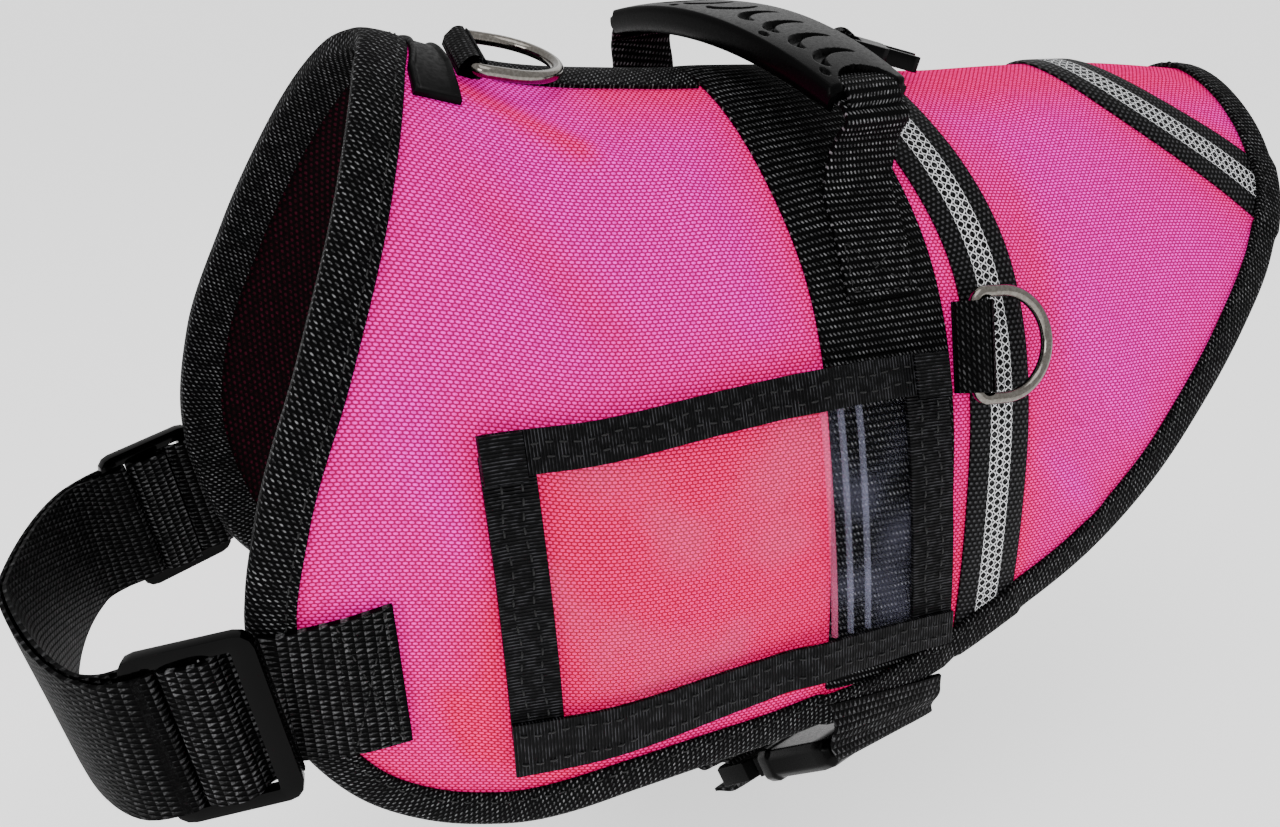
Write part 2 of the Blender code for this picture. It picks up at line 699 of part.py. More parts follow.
def build_chest_tab(side, name, paints):
    """Webbing sewn to the front of the panel, over the binding and round the centre bar."""
    centre, along, across, face = adjuster_axes(side)
    offsets = np.linspace(-0.5, 0.5, 5) * (TAB_WIDTH - 0.6)
    run = np.array([0, 5.5, 11.5, 18, 24.5])
    lift = GAP + np.clip(run / 10.0, 0, 1) * (BINDING_WALL + BINDING_CLEAR)
    root_y, root_v = TAB_ROOT
    sections = []
    for go, low in zip(run, lift):
        y = root_y - go + offsets * TAB_LEAN
        v = (root_v + go * TAB_SLOPE + offsets) * side
        upper = place(y, v, low + WEBBING)
        lower = place(y, v, low)
        sections.append(np.vstack([upper, lower[::-1]]))
    near, far = slot_edges()
    clear = ADJUSTER_THICK / 2 + GAP + WEBBING / 2
    slot = (near + far) / 2
    path = np.array(((-far - ADJUSTER_BAR, -clear - 0.6), (-far + 0.3, -clear - 0.1), (-slot - 0.3, -1.2),
                     (-slot + 1.0, 1.2), (-near - 0.2, clear), (near + 0.2, clear), (slot - 1.0, 1.2),
                     (slot + 0.3, -1.0), (slot - 0.4, -clear - 0.8), (near, -clear - 1.9),
                     (-near - 1.2, -clear - 2.3)))
    tangents = unit(np.gradient(path, axis=0))
    for (a, h), (step_a, step_h) in zip(path, tangents):
        middle = centre + along * a + face * h
        out = face * step_a - along * step_h
        line = [middle + across * s for s in offsets]
        sections.append(np.array([p + out * WEBBING / 2 for p in line]
                                 + [p - out * WEBBING / 2 for p in line[::-1]]))
    swept(name, sections, paints["webbing"])


def build_chest_strap(paints):
    """Two layers of webbing round the chest, folded over the front bar of each adjuster."""
    centre, along, across, face = adjuster_axes(1)
    start = centre - CHEST_SKEW + along * (ADJUSTER_LENGTH / 2 - ADJUSTER_BAR / 2)
    first = start + along * 6.0
    angles = np.linspace(0.1, 1, 11) * math.pi / 2
    depth = first[1] - CHEST_FRONT_Y
    half = [(first[0] * max(math.cos(t), 0) ** CHEST_POINTED, first[1] - depth * math.sin(t) ** 1.1,
             first[2] + (CHEST_FRONT_Z - first[2]) * math.sin(t)) for t in angles]
    half = np.vstack([[start, first], half])
    whole = smooth_path(np.vstack([half, (half * (-1, 1, 1))[::-1][1:]]), 7.0)
    share = whole[:, :1] / start[0]
    whole = whole + share * CHEST_SKEW
    tangents = unit(np.gradient(whole, axis=0))
    lean = across[1] + (CHEST_LEAN - across[1]) * (1 - np.abs(share))**2
    down = np.concatenate([share * across[0], lean, -np.ones_like(share)], 1)
    down = unit(down - tangents * np.sum(down * tangents, axis=1, keepdims=True))
    run = np.concatenate([[0], np.cumsum(np.linalg.norm(np.diff(whole, axis=0), axis=1))])
    fade = np.clip(np.minimum(run, run[-1] - run) / 16.0, 0, 1)[:, None]
    held = np.concatenate([np.sign(share) * across[0], 0 * share + across[1], 0 * share + across[2]], 1)
    down = unit(held * (1 - fade) + down * fade)
    normals = unit(np.cross(tangents, down))
    if normals[len(normals) // 2][1] > 0:
        normals = -normals
    wide = ADJUSTER_THICK / 2 + GAP + WEBBING / 2 + FOLD_EASE
    close = (GAP + WEBBING) / 2
    apart = wide + (close - wide) * fade * fade * (3 - 2 * fade)
    turns = np.radians((30, 60, 90, 120, 150))
    reach = ADJUSTER_BAR / 2 + GAP + WEBBING / 2 + FOLD_EASE

    def fold(end, tangent, normal):
        """Points half way round the bar, squarer than an ellipse so that the corners clear."""
        return [end + normal * wide * math.copysign(abs(math.cos(t))**0.5, math.cos(t))
                + tangent * reach * math.sin(t)**0.5 for t in turns]

    last_fold = fold(whole[-1], tangents[-1], normals[-1])
    first_fold = fold(whole[0], -tangents[0], normals[0])[::-1]
    count = len(turns)
    points = np.vstack([whole + normals * apart, last_fold, (whole - normals * apart)[::-1], first_fold])
    side = np.vstack([down, np.repeat(down[-1:], count, 0), down[::-1], np.repeat(down[:1], count, 0)])
    around = np.roll(points, -1, axis=0) - np.roll(points, 1, axis=0)
    ribbon("chest_strap", points, side, np.cross(side, around), TAB_WIDTH - 0.8, WEBBING,
           paints["webbing"], closed=True)


def build_belt(paints):
    """Belly belt: both ends are sewn over the binding at the hem below the girth band."""
    height = BINDING_CLEAR + BINDING_WALL + GAP + WEBBING / 2 + BELT_SLACK
    start, along, across, face = buckle_axes()
    end = FEMALE_LENGTH + COLLAR_LENGTH + GAP + MALE_ARMS + MALE_BASE
    half = TAB_WIDTH / 2
    bar = (MALE_BASE - MALE_SLOT) / 2
    over = MALE_THICK / 2 + GAP + WEBBING / 2
    left = [start - along * 0.9]
    right = [start + along * (end + a) - face * h for a, h in (
        (9.0, over - 0.6), (2.0, over), (-bar - 0.6, over), (-bar - 2.5, over - 1.5),
        (-bar - MALE_SLOT / 2 - 0.2, 0.0), (-bar - 2.5, 1.5 - over), (-bar - 0.6, -over), (8.0, -over))]
    for side, name, root_y, line in ((1, "belly_belt_left", GIRTH_LINE[-1][0], BELT_LEFT),
                                     (-1, "belly_belt_right", GIRTH_LINE[0][0], BELT_RIGHT)):
        line = np.vstack([line, left if side > 0 else right])
        v = np.array([BELT_EDGE_V, BELT_EDGE_V + 4.0, BELT_EDGE_V + 8.0]) * side
        y = np.full(3, root_y) + np.array([0, 0.8, 1.8]) * (side > 0)
        points = np.vstack([place(y, v, height), line])
        tangents = unit(np.gradient(points, axis=0))
        run = np.concatenate([[0], np.cumsum(np.linalg.norm(np.diff(points, axis=0), axis=1))])
        share = np.clip(run / (run[-1] - (0 if side > 0 else end)), 0, 1)[:, None]
        lie = place(root_y + half, v[0], height) - place(root_y - half, v[0], height)
        width = unit(unit(lie) * (1 - share) + across * share)
        ribbon(name, points, width, np.cross(width, tangents), TAB_WIDTH - 0.6, WEBBING,
               paints["webbing"])


def buckle_axes():
    along = unit(np.array(BUCKLE_ALONG))
    across = np.array([0.0, 1.0, BELT_TWIST])
    across = unit(across - along * np.dot(across, along))
    face = np.cross(along, across)
    return np.array(BUCKLE_START), along, across, face if face[2] < 0 else -face


def build_buckle(paints):
    """Fastened side release buckle: a hollow half, and a half with two arms and a webbing slot."""
    start, along, across, face = buckle_axes()
    half = BUCKLE_WIDTH / 2
    total = FEMALE_LENGTH + COLLAR_LENGTH
    rows = ((0.0, half - 2.5, FEMALE_THICK - 3.0), (2.0, half - 0.6, FEMALE_THICK - 0.6),
            (6.0, half, FEMALE_THICK), (FEMALE_LENGTH - 1.2, half - 1.5, FEMALE_THICK),
            (FEMALE_LENGTH, half - 1.0, COLLAR_THICK), (total - 1.0, half - 1.6, COLLAR_THICK),
            (total, half - 2.4, COLLAR_THICK - 1.6))
    sections = []
    for run, wide, thick in rows:
        cut = 2.0
        tall = thick / 2
        outline = ((wide, tall - cut), (wide - cut, tall), (cut - wide, tall), (-wide, tall - cut),
                   (-wide, cut - tall), (cut - wide, -tall), (wide - cut, -tall), (wide, cut - tall))
        sections.append([start + along * run + across * b + face * h for b, h in outline])
    swept("belly_buckle_female", sections, paints["plastic"])
    base = total + GAP + MALE_ARMS
    end = base + MALE_BASE
    arm_in, arm_out = half - 13.0, half - 3.5
    outline = [(total + GAP, arm_in), (total + GAP, arm_out - 2), (total + GAP + 3.5, arm_out),
               (base - 1.5, arm_out - 2.5), (base, half - 2), (end - 3, half - 1), (end, half - 4),
               (end, 4 - half), (end - 3, 1 - half), (base, 2 - half), (base - 1.5, 2.5 - arm_out),
               (total + GAP + 3.5, -arm_out), (total + GAP, 2 - arm_out), (total + GAP, -arm_in),
               (base, -arm_in), (base, arm_in)]
    slot = rectangle((base + MALE_BASE / 2, 0), (MALE_SLOT, TAB_WIDTH + 0.6), 1.0)
    plate("belly_buckle_male", start, (along, across, face), [outline, slot], MALE_THICK,
          paints["plastic"])


def grip_frame():
    """Directions of the handle: along it, across it, and up."""
    along = np.array([math.cos(GRIP_YAW), math.sin(GRIP_YAW), 0.0])
    across = np.array([-math.sin(GRIP_YAW), math.cos(GRIP_YAW), 0.0])
    return np.array(GRIP_CENTRE), along, across, np.array([0.0, 0.0, 1.0])


def grip_line(run):
    """Middle line of the grip at a distance along it, and its slope there."""
    centre, along, across, up = grip_frame()
    rise = GRIP_SLOPE * run - GRIP_ARCH * run**2
    return centre + along * run + up * rise, GRIP_SLOPE - 2 * GRIP_ARCH * run


def build_grip(paints):
    """Moulded grip: an arched bar with a channel under it that holds the webbing."""
    centre, along, across, up = grip_frame()
    sections = []
    for share in np.linspace(-1, 1, GRIP_SECTIONS):
        middle, slope = grip_line(share * GRIP_HALF)
        normal = unit(up - along * slope)
        wide = (GRIP_WIDTH + (GRIP_END_WIDTH - GRIP_WIDTH) * share**2) / 2
        tall = (GRIP_THICK + (GRIP_END_THICK - GRIP_THICK) * share**2) / 2
        slot = CHANNEL_WIDTH / 2
        roof = CHANNEL_DEPTH - tall
        outline = ((wide, -tall + 2.0), (wide - 0.8, tall - 1.7), (wide - 3.6, tall - 0.3), (0, tall),
                   (3.6 - wide, tall - 0.3), (0.8 - wide, tall - 1.7), (-wide, -tall + 2.0),
                   (0.9 - wide, -tall), (-slot, -tall), (-slot, roof), (slot, roof), (slot, -tall),
                   (wide - 0.9, -tall))
        sections.append([middle + across * b + normal * h for b, h in outline])
    swept("handle_grip", sections, paints["plastic"])


def build_handle_webbing(paints):
    """Webbing through the grip's channel, down to the girth band and along it to a sewn end."""
    centre, along, across, up = grip_frame()
    ends = []
    for side, foot_y in zip((1, -1), HANDLE_WEB_Y):
        v = np.array([HANDLE_WEB_END, 71.0, 64.0, 57.0, HANDLE_WEB_LAND]) * side
        height = np.array([0, 0, 0, 0, 0.6]) + GAP * 2 + WEBBING * 1.5
        y = np.full(5, foot_y)
        landed = place(y, v, height)
        faces = outward(y, v)
        mouth, slope = grip_line(side * (GRIP_HALF + 1.5))
        seat = GRIP_END_THICK / 2 - CHANNEL_DEPTH + GAP + WEBBING / 2
        mouth = mouth - up * seat
        top = landed[-1]
        gap = mouth - top
        out = np.array([side, 0.15, 0.0])
        bends = ((0.30, -0.6, 0.2), (0.62, 0.6, 0.3), (0.86, 2.9, 0.2))
        hanging = [top + gap * share + out * push + up * lift for share, push, lift in bends]
        hanging.append(mouth)
        ends.append((list(landed) + hanging, faces))
    runs = np.linspace(GRIP_HALF - 5, 5 - GRIP_HALF, 9)
    middle = []
    for run in runs:
        point, slope = grip_line(run)
        share = run / GRIP_HALF
        tall = (GRIP_THICK + (GRIP_END_THICK - GRIP_THICK) * share**2) / 2
        seat = tall - CHANNEL_DEPTH + GAP + WEBBING / 2
        middle.append(point - unit(up - along * slope) * seat)
    points = np.array(ends[0][0] + middle + ends[1][0][::-1])
    tangents = unit(np.gradient(points, axis=0))
    hang = len(ends[0][0]) - 5
    turn = np.concatenate([np.zeros(5), np.linspace(0.3, 1, hang), np.ones(len(middle)),
                           np.linspace(1, 0.3, hang), np.zeros(5)])[:, None]
    side = unit(across * turn + np.array([0.0, 1.0, 0.0]) * (1 - turn))
    side = unit(side - tangents * np.sum(side * tangents, axis=1, keepdims=True))
    ribbon("handle_webbing", points, side, np.cross(side, tangents), HANDLE_WEB_WIDTH, WEBBING,
           paints["webbing"])


def build_clip(paints):
    """Small buckle half with two prongs, held on a webbing loop behind the handle."""
    bar = np.array(CLIP_BAR)
    along = unit(np.array(CLIP_ALONG))
    across = unit(np.cross([0.0, 0.0, 1.0], along))
    face = np.cross(along, across)
    half = CLIP_WIDTH / 2
    side = [(-1.6, half - 1), (-0.6, half), (11.0, half), (12.5, half - 1.2), (12.5, half - 2.6),
            (20.5, half - 2.2), (22.0, half - 3.2), (21.0, half - 4.6), (12.5, half - 4.6)]
    outline = side + [(a, -b) for a, b in reversed(side)]
    slot = rectangle((3.2, 0), (3.2, CLIP_LOOP_WIDTH + 1.6), 0.8)
    plate("small_clip", bar, (along, across, face), [outline, slot], CLIP_THICK, paints["plastic"], bar)
    back = unit(np.array([along[0], along[1], 0.0]))
    up = np.array([0.0, 0.0, 1.0])
    ends = (-CLIP_LOOP_DROP, GAP - CLIP_LOOP_DROP)
    loop = fold_sections(bar, (back, across, up), CLIP_HOLD, CLIP_LOOP_WALL,
                         (CLIP_LOOP_REACH, 0.0), CLIP_LOOP_WIDTH, ends)
    swept("small_clip_loop", loop, paints["webbing"])


def main():
    clear_scene()
    paints = make_paints()
    loop = edge_loop()
    limit = inset(loop, BINDING_FACE + 0.8)
    build_panels(loop, paints)
    build_binding(loop, paints)
    build_straps(limit, paints)
    build_label(limit, paints)
    build_pocket(paints)
    ring_set("neck", NECK_RING_AT, NECK_RING_YAW, NECK_RING_TILT, NECK_LOOP, 0.0, paints)
    ring_set("side", SIDE_RING_AT, 0.0, SIDE_RING_TILT, SIDE_LOOP, GAP + TAPE, paints)
    for side, word in ((1, "left"), (-1, "right")):
        build_adjuster(side, "chest_adjuster_" + word, paints)
        build_chest_tab(side, "chest_tab_" + word, paints)
    build_chest_strap(paints)
    build_belt(paints)
    build_buckle(paints)
    build_grip(paints)
    build_handle_webbing(paints)
    build_clip(paints)


GRID = make_grid()
main()
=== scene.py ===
"""Looks of a service dog vest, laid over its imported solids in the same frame.

The dog would face -Y, its left side is +X and +Z is up. Shapes are worked out in millimetres. Cloth is
drawn flat in y, the station along the back, and v, the girth from the spine, positive on the left. A
height h lifts it off the shell's outer face. All layers share one set of creases.
"""
import math

import bmesh
import bpy
import numpy as np
from mathutils import Matrix


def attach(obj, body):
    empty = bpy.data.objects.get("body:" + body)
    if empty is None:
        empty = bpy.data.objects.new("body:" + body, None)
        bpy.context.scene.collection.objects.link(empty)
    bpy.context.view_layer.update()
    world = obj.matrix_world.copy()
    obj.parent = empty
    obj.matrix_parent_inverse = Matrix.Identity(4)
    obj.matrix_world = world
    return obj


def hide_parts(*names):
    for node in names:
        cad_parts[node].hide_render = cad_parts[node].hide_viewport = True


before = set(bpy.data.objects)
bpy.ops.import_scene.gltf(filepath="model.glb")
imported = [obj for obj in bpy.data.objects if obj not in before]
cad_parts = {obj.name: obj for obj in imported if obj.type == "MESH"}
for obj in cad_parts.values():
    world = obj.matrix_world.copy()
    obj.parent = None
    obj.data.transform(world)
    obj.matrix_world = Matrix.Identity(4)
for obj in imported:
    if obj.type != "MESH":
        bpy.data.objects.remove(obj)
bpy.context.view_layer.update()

MM = 0.001
GAP = 0.3

# Cloth and webbing thicknesses
SHELL = 1.2
LINING = 1.0
WEBBING = 1.5
TAPE = 1.0
LINING_IN = -SHELL - GAP - LINING

# Body form, one row for each station
STATION_COLUMNS = ("y", "spine_z", "barrel_half", "hem_half")
STATIONS = (
    (-160, 24.0, 63, 50),
    (-130, 20.0, 65, 62),
    (-100, 13.5, 66, 68),
    (-70, 5.0, 67, 71),
    (-35, 1.5, 67, 71),
    (0, 0.0, 67, 70),
    (30, -1.4, 67, 69),
    (60, -3.0, 66, 67),
    (90, -3.0, 64, 64),
    (120, -3.7, 62, 61),
    (175, -9.0, 56, 54),
)
BARREL_DROP = 88.0
HEM_DROP = 172.0
CROWN_LEAD = 19.0
SHOULDER_X = 57.0
SHOULDER_DROP = 26.0
BELOW_HEM = 40.0
CROWN_BARREL = 66.0
FLANK_LEAD = 30.0

# Cut edge of the left half as (y, v), from the neck on the spine round the chest and hem to the tail
EDGE = (
    (-104, 0), (-108.5, 18), (-121, 58), (-134, 92), (-147, 126), (-152, 155),
    (-149.5, 173), (-142.5, 192), (-130, 206), (-114, 212.5), (-98, 213.5), (-62, 203),
    (-14, 197), (12, 193), (34, 185.5), (58, 174), (87, 159), (108.5, 141),
    (128, 118), (145, 96), (160.5, 74), (169, 55), (171.5, 34), (170, 15), (168.5, 0),
)
BINDING_FACE = 10.8
BINDING_WALL = 1.0
BINDING_CLEAR = 0.5
CUT_BACK = BINDING_WALL + BINDING_CLEAR
UNDER_BINDING = 4.0
BULK_RUN = 2.5
BULK_AT = 6.0

# Panel grids: girth step and columns; the last rows lie this far from the lowest point of the hem
SHELL_GRID = (2.6, 124)
LINING_GRID = (4.5, 70)
HEM_ROWS = (5, 3.5, 2.2, 1.2, 0.5, 0.1)

# Straps on the shell
SPINE_TAPE_WIDTH = 25.0
TAPE_REACH = 3.0
STRAP_ROUND = 0.35
SPINE_TAPE_ENDS = (-74.6, -21.6)
GIRTH_WIDTH = 38.0
GIRTH_LINE = ((-11.5, -184), (-11.5, -150), (-11.5, -105), (-10.5, -76), (-6.5, -45), (0, 0),
              (5.5, 38), (10.5, 72), (12, 105), (12.3, 150), (12.5, 184))
REFLECTIVE_WIDTH = 20.0
FRONT_REFLECTIVE = ((30.4, 0), (31.9, 14), (35.4, 30), (39.6, 44), (43.2, 57), (45.8, 70), (47, 85),
                    (47.3, 110), (46.5, 140), (45.5, 185))
REAR_REFLECTIVE = ((108, 0), (110.5, 9), (116, 18.5), (124, 27.5), (134.5, 36), (146, 43.5), (174, 61))

# Neck label and rings
LABEL_Y = (-90.4, -0.12)
LABEL_WIDTH = 11.0
LABEL_HALF = 27.0
LABEL_THICK = 1.6
LABEL_RIM = 1.3
RING_INSIDE = 25.0
RING_WIRE = 3.2
RING_RISE = 8.5
LOOP_WIDTH = 24.0
LOOP_WALL = 1.0
LOOP_WRAP = math.radians(50)
NECK_RING_AT = (-79.8, 6.0)
NECK_RING_YAW = math.radians(5)
NECK_RING_TILT = math.radians(7)
NECK_LOOP = (3.6, 0.3)
SIDE_RING_AT = (37.0, 92.5)
SIDE_RING_TILT = math.radians(4)
SIDE_LOOP = (5.4, 2.6)

# Pocket, left side
POCKET_CENTRE = (-33.8, 144.1)
POCKET_SIZE = (127.0, 88.2)
POCKET_TURN_LENGTH = math.radians(6.6)
POCKET_TURN_DEPTH = math.radians(3.2)
POCKET_FRAME = 13.0
POCKET_TOP = 10.2
POCKET_BOTTOM = 15.5
POCKET_TAPER = 5.5
POCKET_BOW = 4.0
WINDOW_SHEET = 0.5
FRAME_TAPE = 1.1
POCKET_RAMP = (-22.0, -9.0)
ZIP_RIDGES = (26.0, 31.0, 36.5)
ZIP_RIDGE = (1.8, 1.2)
FRAME_OVERLAP = 5.0
LAP_GAP = 0.1
PATCH_SHARE = 0.8
SEAM_WAVE = (0.45, 3.1)

# Chest tabs and slide adjusters
TAB_ROOT = (-119.5, 166.5)
TAB_SLOPE = 0.24
TAB_LEAN = 0.07
TAB_WIDTH = 38.0
TAB_SEWN = 24.5
TAB_RISE_RUN = 10.0
TAB_BOX = (1.8, 12.5)
ADJUSTER_LENGTH = 29.2
ADJUSTER_BAR = 5.2
ADJUSTER_CENTRE_BAR = 4.6
ADJUSTER_THICK = 3.2
ADJUSTER_CENTRE = (64.8, -160.5, -124.5)
CHEST_SKEW = (0.0, -0.8, 3.0)
ADJUSTER_ALONG = (-0.27, -0.946, -0.176)
ADJUSTER_ACROSS = (0.02, 0.15, -0.98)
CHEST_FRONT_Y = -197.0
CHEST_FRONT_Z = -129.0
CHEST_POINTED = 1.25
CHEST_LEAN = 0.33
CHEST_LEAD = 6.0
CHEST_FADE = 16.0
FOLD_EASE = 0.3

# Belly belt and its buckle
BELT_EDGE_V = 187.5
BELT_SLACK = 0.4
BELT_LEFT = ((72.2, 13.5, -168.5), (71.4, 15.3, -172.6), (68.0, 17.6, -175.6), (64.4, 19.4, -176.2))
BELT_RIGHT = ((-73.2, -11, -169), (-71, -10.5, -177), (-63, -9, -187), (-49, -6, -197),
              (-31, -2, -206), (-12, 2.5, -213))
BELT_TWIST = 0.28
BUCKLE_START = (61.0, 20.3, -177.5)
BUCKLE_ALONG = (-0.73, -0.18, -0.62)
FEMALE_LENGTH = 30.0
COLLAR_LENGTH = 6.0
MALE_THICK = 6.0
MALE_ARMS = 8.0
MALE_BASE = 16.0
MALE_SLOT = 5.6

# Handle
GRIP_HALF = 46.5
GRIP_CENTRE = (0.0, 2.2, 14.5)
GRIP_YAW = math.radians(11.4)
GRIP_SLOPE = -0.11
GRIP_ARCH = 0.0033
GRIP_WIDTH = 29.5
GRIP_END_WIDTH = 26.5
GRIP_THICK = 8.4
GRIP_END_THICK = 7.2
CHANNEL_WIDTH = 21.8
CHANNEL_DEPTH = 3.4
HANDLE_WEB_WIDTH = 20.5
HANDLE_WEB_END = 78.0
HANDLE_WEB_LAND = 50.0
HANDLE_WEB_Y = (11.2, -8.5)
# Bends of the webbing between its foot and the grip: share of the way, push outwards and lift
HANDLE_BENDS = ((0.30, -0.6, 0.2), (0.62, 0.6, 0.3), (0.86, 2.9, 0.2))
# The arched mouth at each end of the grip, and how the webbing bulges in it: run past the end and lift
MOUTH_LENGTH = 7.5
MOUTH_HALF = 9.6
MOUTH_BULGE = ((-7.5, 0.9), (-5.0, 1.9), (-2.0, 2.6), (0.6, 2.1), (2.2, 0.5), (2.9, -1.6), (2.3, -3.6))
# Crescent grooves by their distance from the middle, half sizes and the shift of their inner edge
GRIP_CRESCENTS = (6.6, 16.4, 26.2, 35.4)
CRESCENT_SIZE = (5.2, 8.4, 2.5, 2.6)
CRESCENT_OFF = -0.6
GRIP_DIMPLES = ((18.5, -11.2), (40.0, -10.0))

# Small buckle half behind the handle
CLIP_BAR = (-1.5, 33.5, 8.6)
CLIP_ALONG = (0.42, 0.86, -0.25)
CLIP_HOLD = 3.0
CLIP_LOOP_WIDTH = 9.0
CLIP_LOOP_WALL = 0.8
CLIP_LOOP_REACH = 15.0
CLIP_LOOP_DROP = 4.3

# Creases as soft ridges (height above 0) or troughs: y and v of both ends, height and half width
CREASES = (
    (-88, 22, -40, 44, 1.1, 8),
    (-96, 40, -52, 92, -0.9, 12),
    (-40, 30, -22, 92, 0.9, 9),
    (-118, 96, -98, 150, 0.8, 9),
    (-112, 168, -100, 196, -0.7, 8),
    (62, 30, 70, 120, -0.9, 10),
    (74, 70, 104, 128, 0.9, 9),
    (60, 120, 90, 150, 0.7, 7),
    (70, 12, 96, 40, 0.7, 9),
    (140, 8, 160, 24, 0.5, 6),
    (-86, -24, -42, -48, 1.0, 9),
    (-94, -52, -56, -104, -0.8, 12),
    (-48, -40, -36, -110, 0.9, 9),
    (-110, -110, -92, -178, 0.8, 10),
    (-62, -120, -44, -186, -0.8, 9),
    (16, -44, 28, -96, 0.6, 8),
    (14, -120, 30, -176, -0.7, 8),
    (62, -40, 74, -132, 0.9, 10),
    (88, -60, 112, -122, -0.8, 10),
    (112, -44, 138, -84, 0.6, 8),
)
CREASE_HEIGHT = 1.3
CREASE_WIDTH = 0.6
CREASE_FADE = 0.42
TABLE_Y = (-158.0, 180.0)
TABLE_V = 222.0

# Stitches: length, gap and radius, and the spindle's radius along its length
PLAIN_STITCH = (2.3, 0.9, 0.26)
BINDING_STITCH = (2.2, 1.2, 0.24)
POCKET_STITCH = (2.6, 0.9, 0.28)
BOX_STITCH = (2.0, 0.9, 0.22)
SPINDLE = ((0.0, 0.25), (0.2, 0.95), (0.5, 1.1), (0.8, 0.95), (1.0, 0.25))

# Weaves, in millimetres
WEAVE_LONG = 1.5
WEAVE_SHORT = 0.9
GROSGRAIN_RIB = 0.85
CHAIN_COLUMN = 2.35
CHAIN_PITCH = 2.3
TWILL_SLANT = 0.9
WEDGE_SHAPE = 0.9

# Neon pink with painted light and shade: magenta on open lit cloth, coral as painted shade
# near straps, seams and the pocket, by these reaches and shares
PINK_LIT = (1.0, 0.0, 0.62, 1)
PINK_LIT_DEEP = (0.27, 0.0, 0.075, 1)
PINK_SHADED = (1.0, 0.0, 0.2, 1)
PINK_SHADED_DEEP = (0.3, 0.0, 0.02, 1)
PINK_GLOW = 0.75
TONE_POCKET = ((-95, 112), (20, 98), (24, 178), (-92, 190), (-95, 112))
TONE_CREASE = ((-84, 20), (-60, 35))
TONE_REACH = 9.0
TONE_RIM = 7.0
TONE_WINDOW = 1.0
TONE_SPINE = 0.85
TONE_FOLD = (0.85, 4.5)
TONE_EDGE = 0.75
TONE_LOW = (100, 90, 0.5)
TONE_TROUGH = 0.35

# Studio, in metres: name, place, aim, side and watts of each soft light
LIGHTS = (
    ("top_softbox", (0.25, -0.15, 0.75), (0, 0, -0.05), 0.6, 2.7),
    ("neck_softbox", (0.45, -0.75, 0.25), (0, -0.05, -0.08), 0.35, 2.7),
    ("rim_softbox", (-0.6, 0.5, 0.5), (0, 0, 0), 0.5, 0.7),
)
WORLD_LIGHT = 0.85
FLOOR_GLOW = 0.9
FLOOR_HALF = 6.0
FLOOR_Z = -0.236

# Camera, found by fitting the photo's outline
CAMERA_AZIMUTH = math.radians(24.5)
CAMERA_ELEVATION = math.radians(23.0)
CAMERA_DISTANCE = 282.0
CAMERA_TARGET = (76.2, -64.0, -58.4)
CAMERA_ROLL = math.radians(0.3)
CAMERA_LENS = 35.66
SENSOR = 36.0


def unit(vector):
    vector = np.asarray(vector, float)
    return vector / np.maximum(np.linalg.norm(vector, axis=-1, keepdims=True), 1e-12)


def ease(share):
    """Smooth step from 0 to 1, flat at both ends and beyond them."""
    share = np.clip(share, 0, 1)
    return share * share * (3 - 2 * share)


def hermite(knots, values, at):
    """Smooth curve through a table's values."""
    knots = np.asarray(knots, float)
    values = np.asarray(values, float)
    slopes = np.gradient(values, knots)
    at = np.asarray(at, float)
    span = np.clip(np.searchsorted(knots, at) - 1, 0, len(knots) - 2)
    step = knots[span + 1] - knots[span]
    t = (at - knots[span]) / step
    return ((2 * t**3 - 3 * t**2 + 1) * values[span] + (t**3 - 2 * t**2 + t) * step * slopes[span]
            + (3 * t**2 - 2 * t**3) * values[span + 1] + (t**3 - t**2) * step * slopes[span + 1])


def smooth_path(rows, step, closed=False):
    """Points at even steps along a smooth curve through the rows."""
    rows = np.asarray(rows, float)
    if closed:
        rows = np.vstack([rows[-3:], rows, rows[:3]])
    run = runs(rows)
    low, high = (run[3], run[-3]) if closed else (run[0], run[-1])
    count = max(2, int(round((high - low) / step)))
    at = np.linspace(low, high, count + 1)
    points = np.stack([hermite(run, rows[:, k], at) for k in range(rows.shape[1])], 1)
    return points[:-1] if closed else points


def runs(points):
    """Distance travelled along a row of points."""
    return np.concatenate([[0], np.cumsum(np.linalg.norm(np.diff(points, axis=0), axis=1))])


def station_value(column, y):
    rows = np.array(STATIONS, float)
    return hermite(rows[:, 0], rows[:, STATION_COLUMNS.index(column)], y)


def bezier(p0, p1, p2, p3, t):
    s = 1 - t
    return s**3 * p0 + 3 * s * s * t * p1 + 3 * s * t * t * p2 + t**3 * p3


def half_sections(y):
    """Half width and drop below the spine along the cloth, a row for each station asked for."""
    barrel = station_value("barrel_half", y)[:, None]
    hem = station_value("hem_half", y)[:, None]
    size = barrel / CROWN_BARREL
    one = np.ones_like(barrel)
    t = np.linspace(0, 1, 60)[None]
    crown_x = bezier(0, CROWN_LEAD * size, SHOULDER_X * size, barrel, t)
    crown_drop = bezier(0, 0, SHOULDER_DROP, BARREL_DROP, t) * one
    t = np.linspace(0, 1, 40)[None][:, 1:]
    lead = (barrel - SHOULDER_X * size) / (BARREL_DROP - SHOULDER_DROP)
    flank_x = bezier(barrel, barrel + lead * FLANK_LEAD, hem + FLANK_LEAD / 10, hem, t)
    flank_drop = bezier(BARREL_DROP, BARREL_DROP + FLANK_LEAD, HEM_DROP - FLANK_LEAD, HEM_DROP, t) * one
    last_x = hem - 0.1 * BELOW_HEM
    last_drop = (HEM_DROP + BELOW_HEM) * one
    return (np.concatenate([crown_x, flank_x, last_x], 1),
            np.concatenate([crown_drop, flank_drop, last_drop], 1))


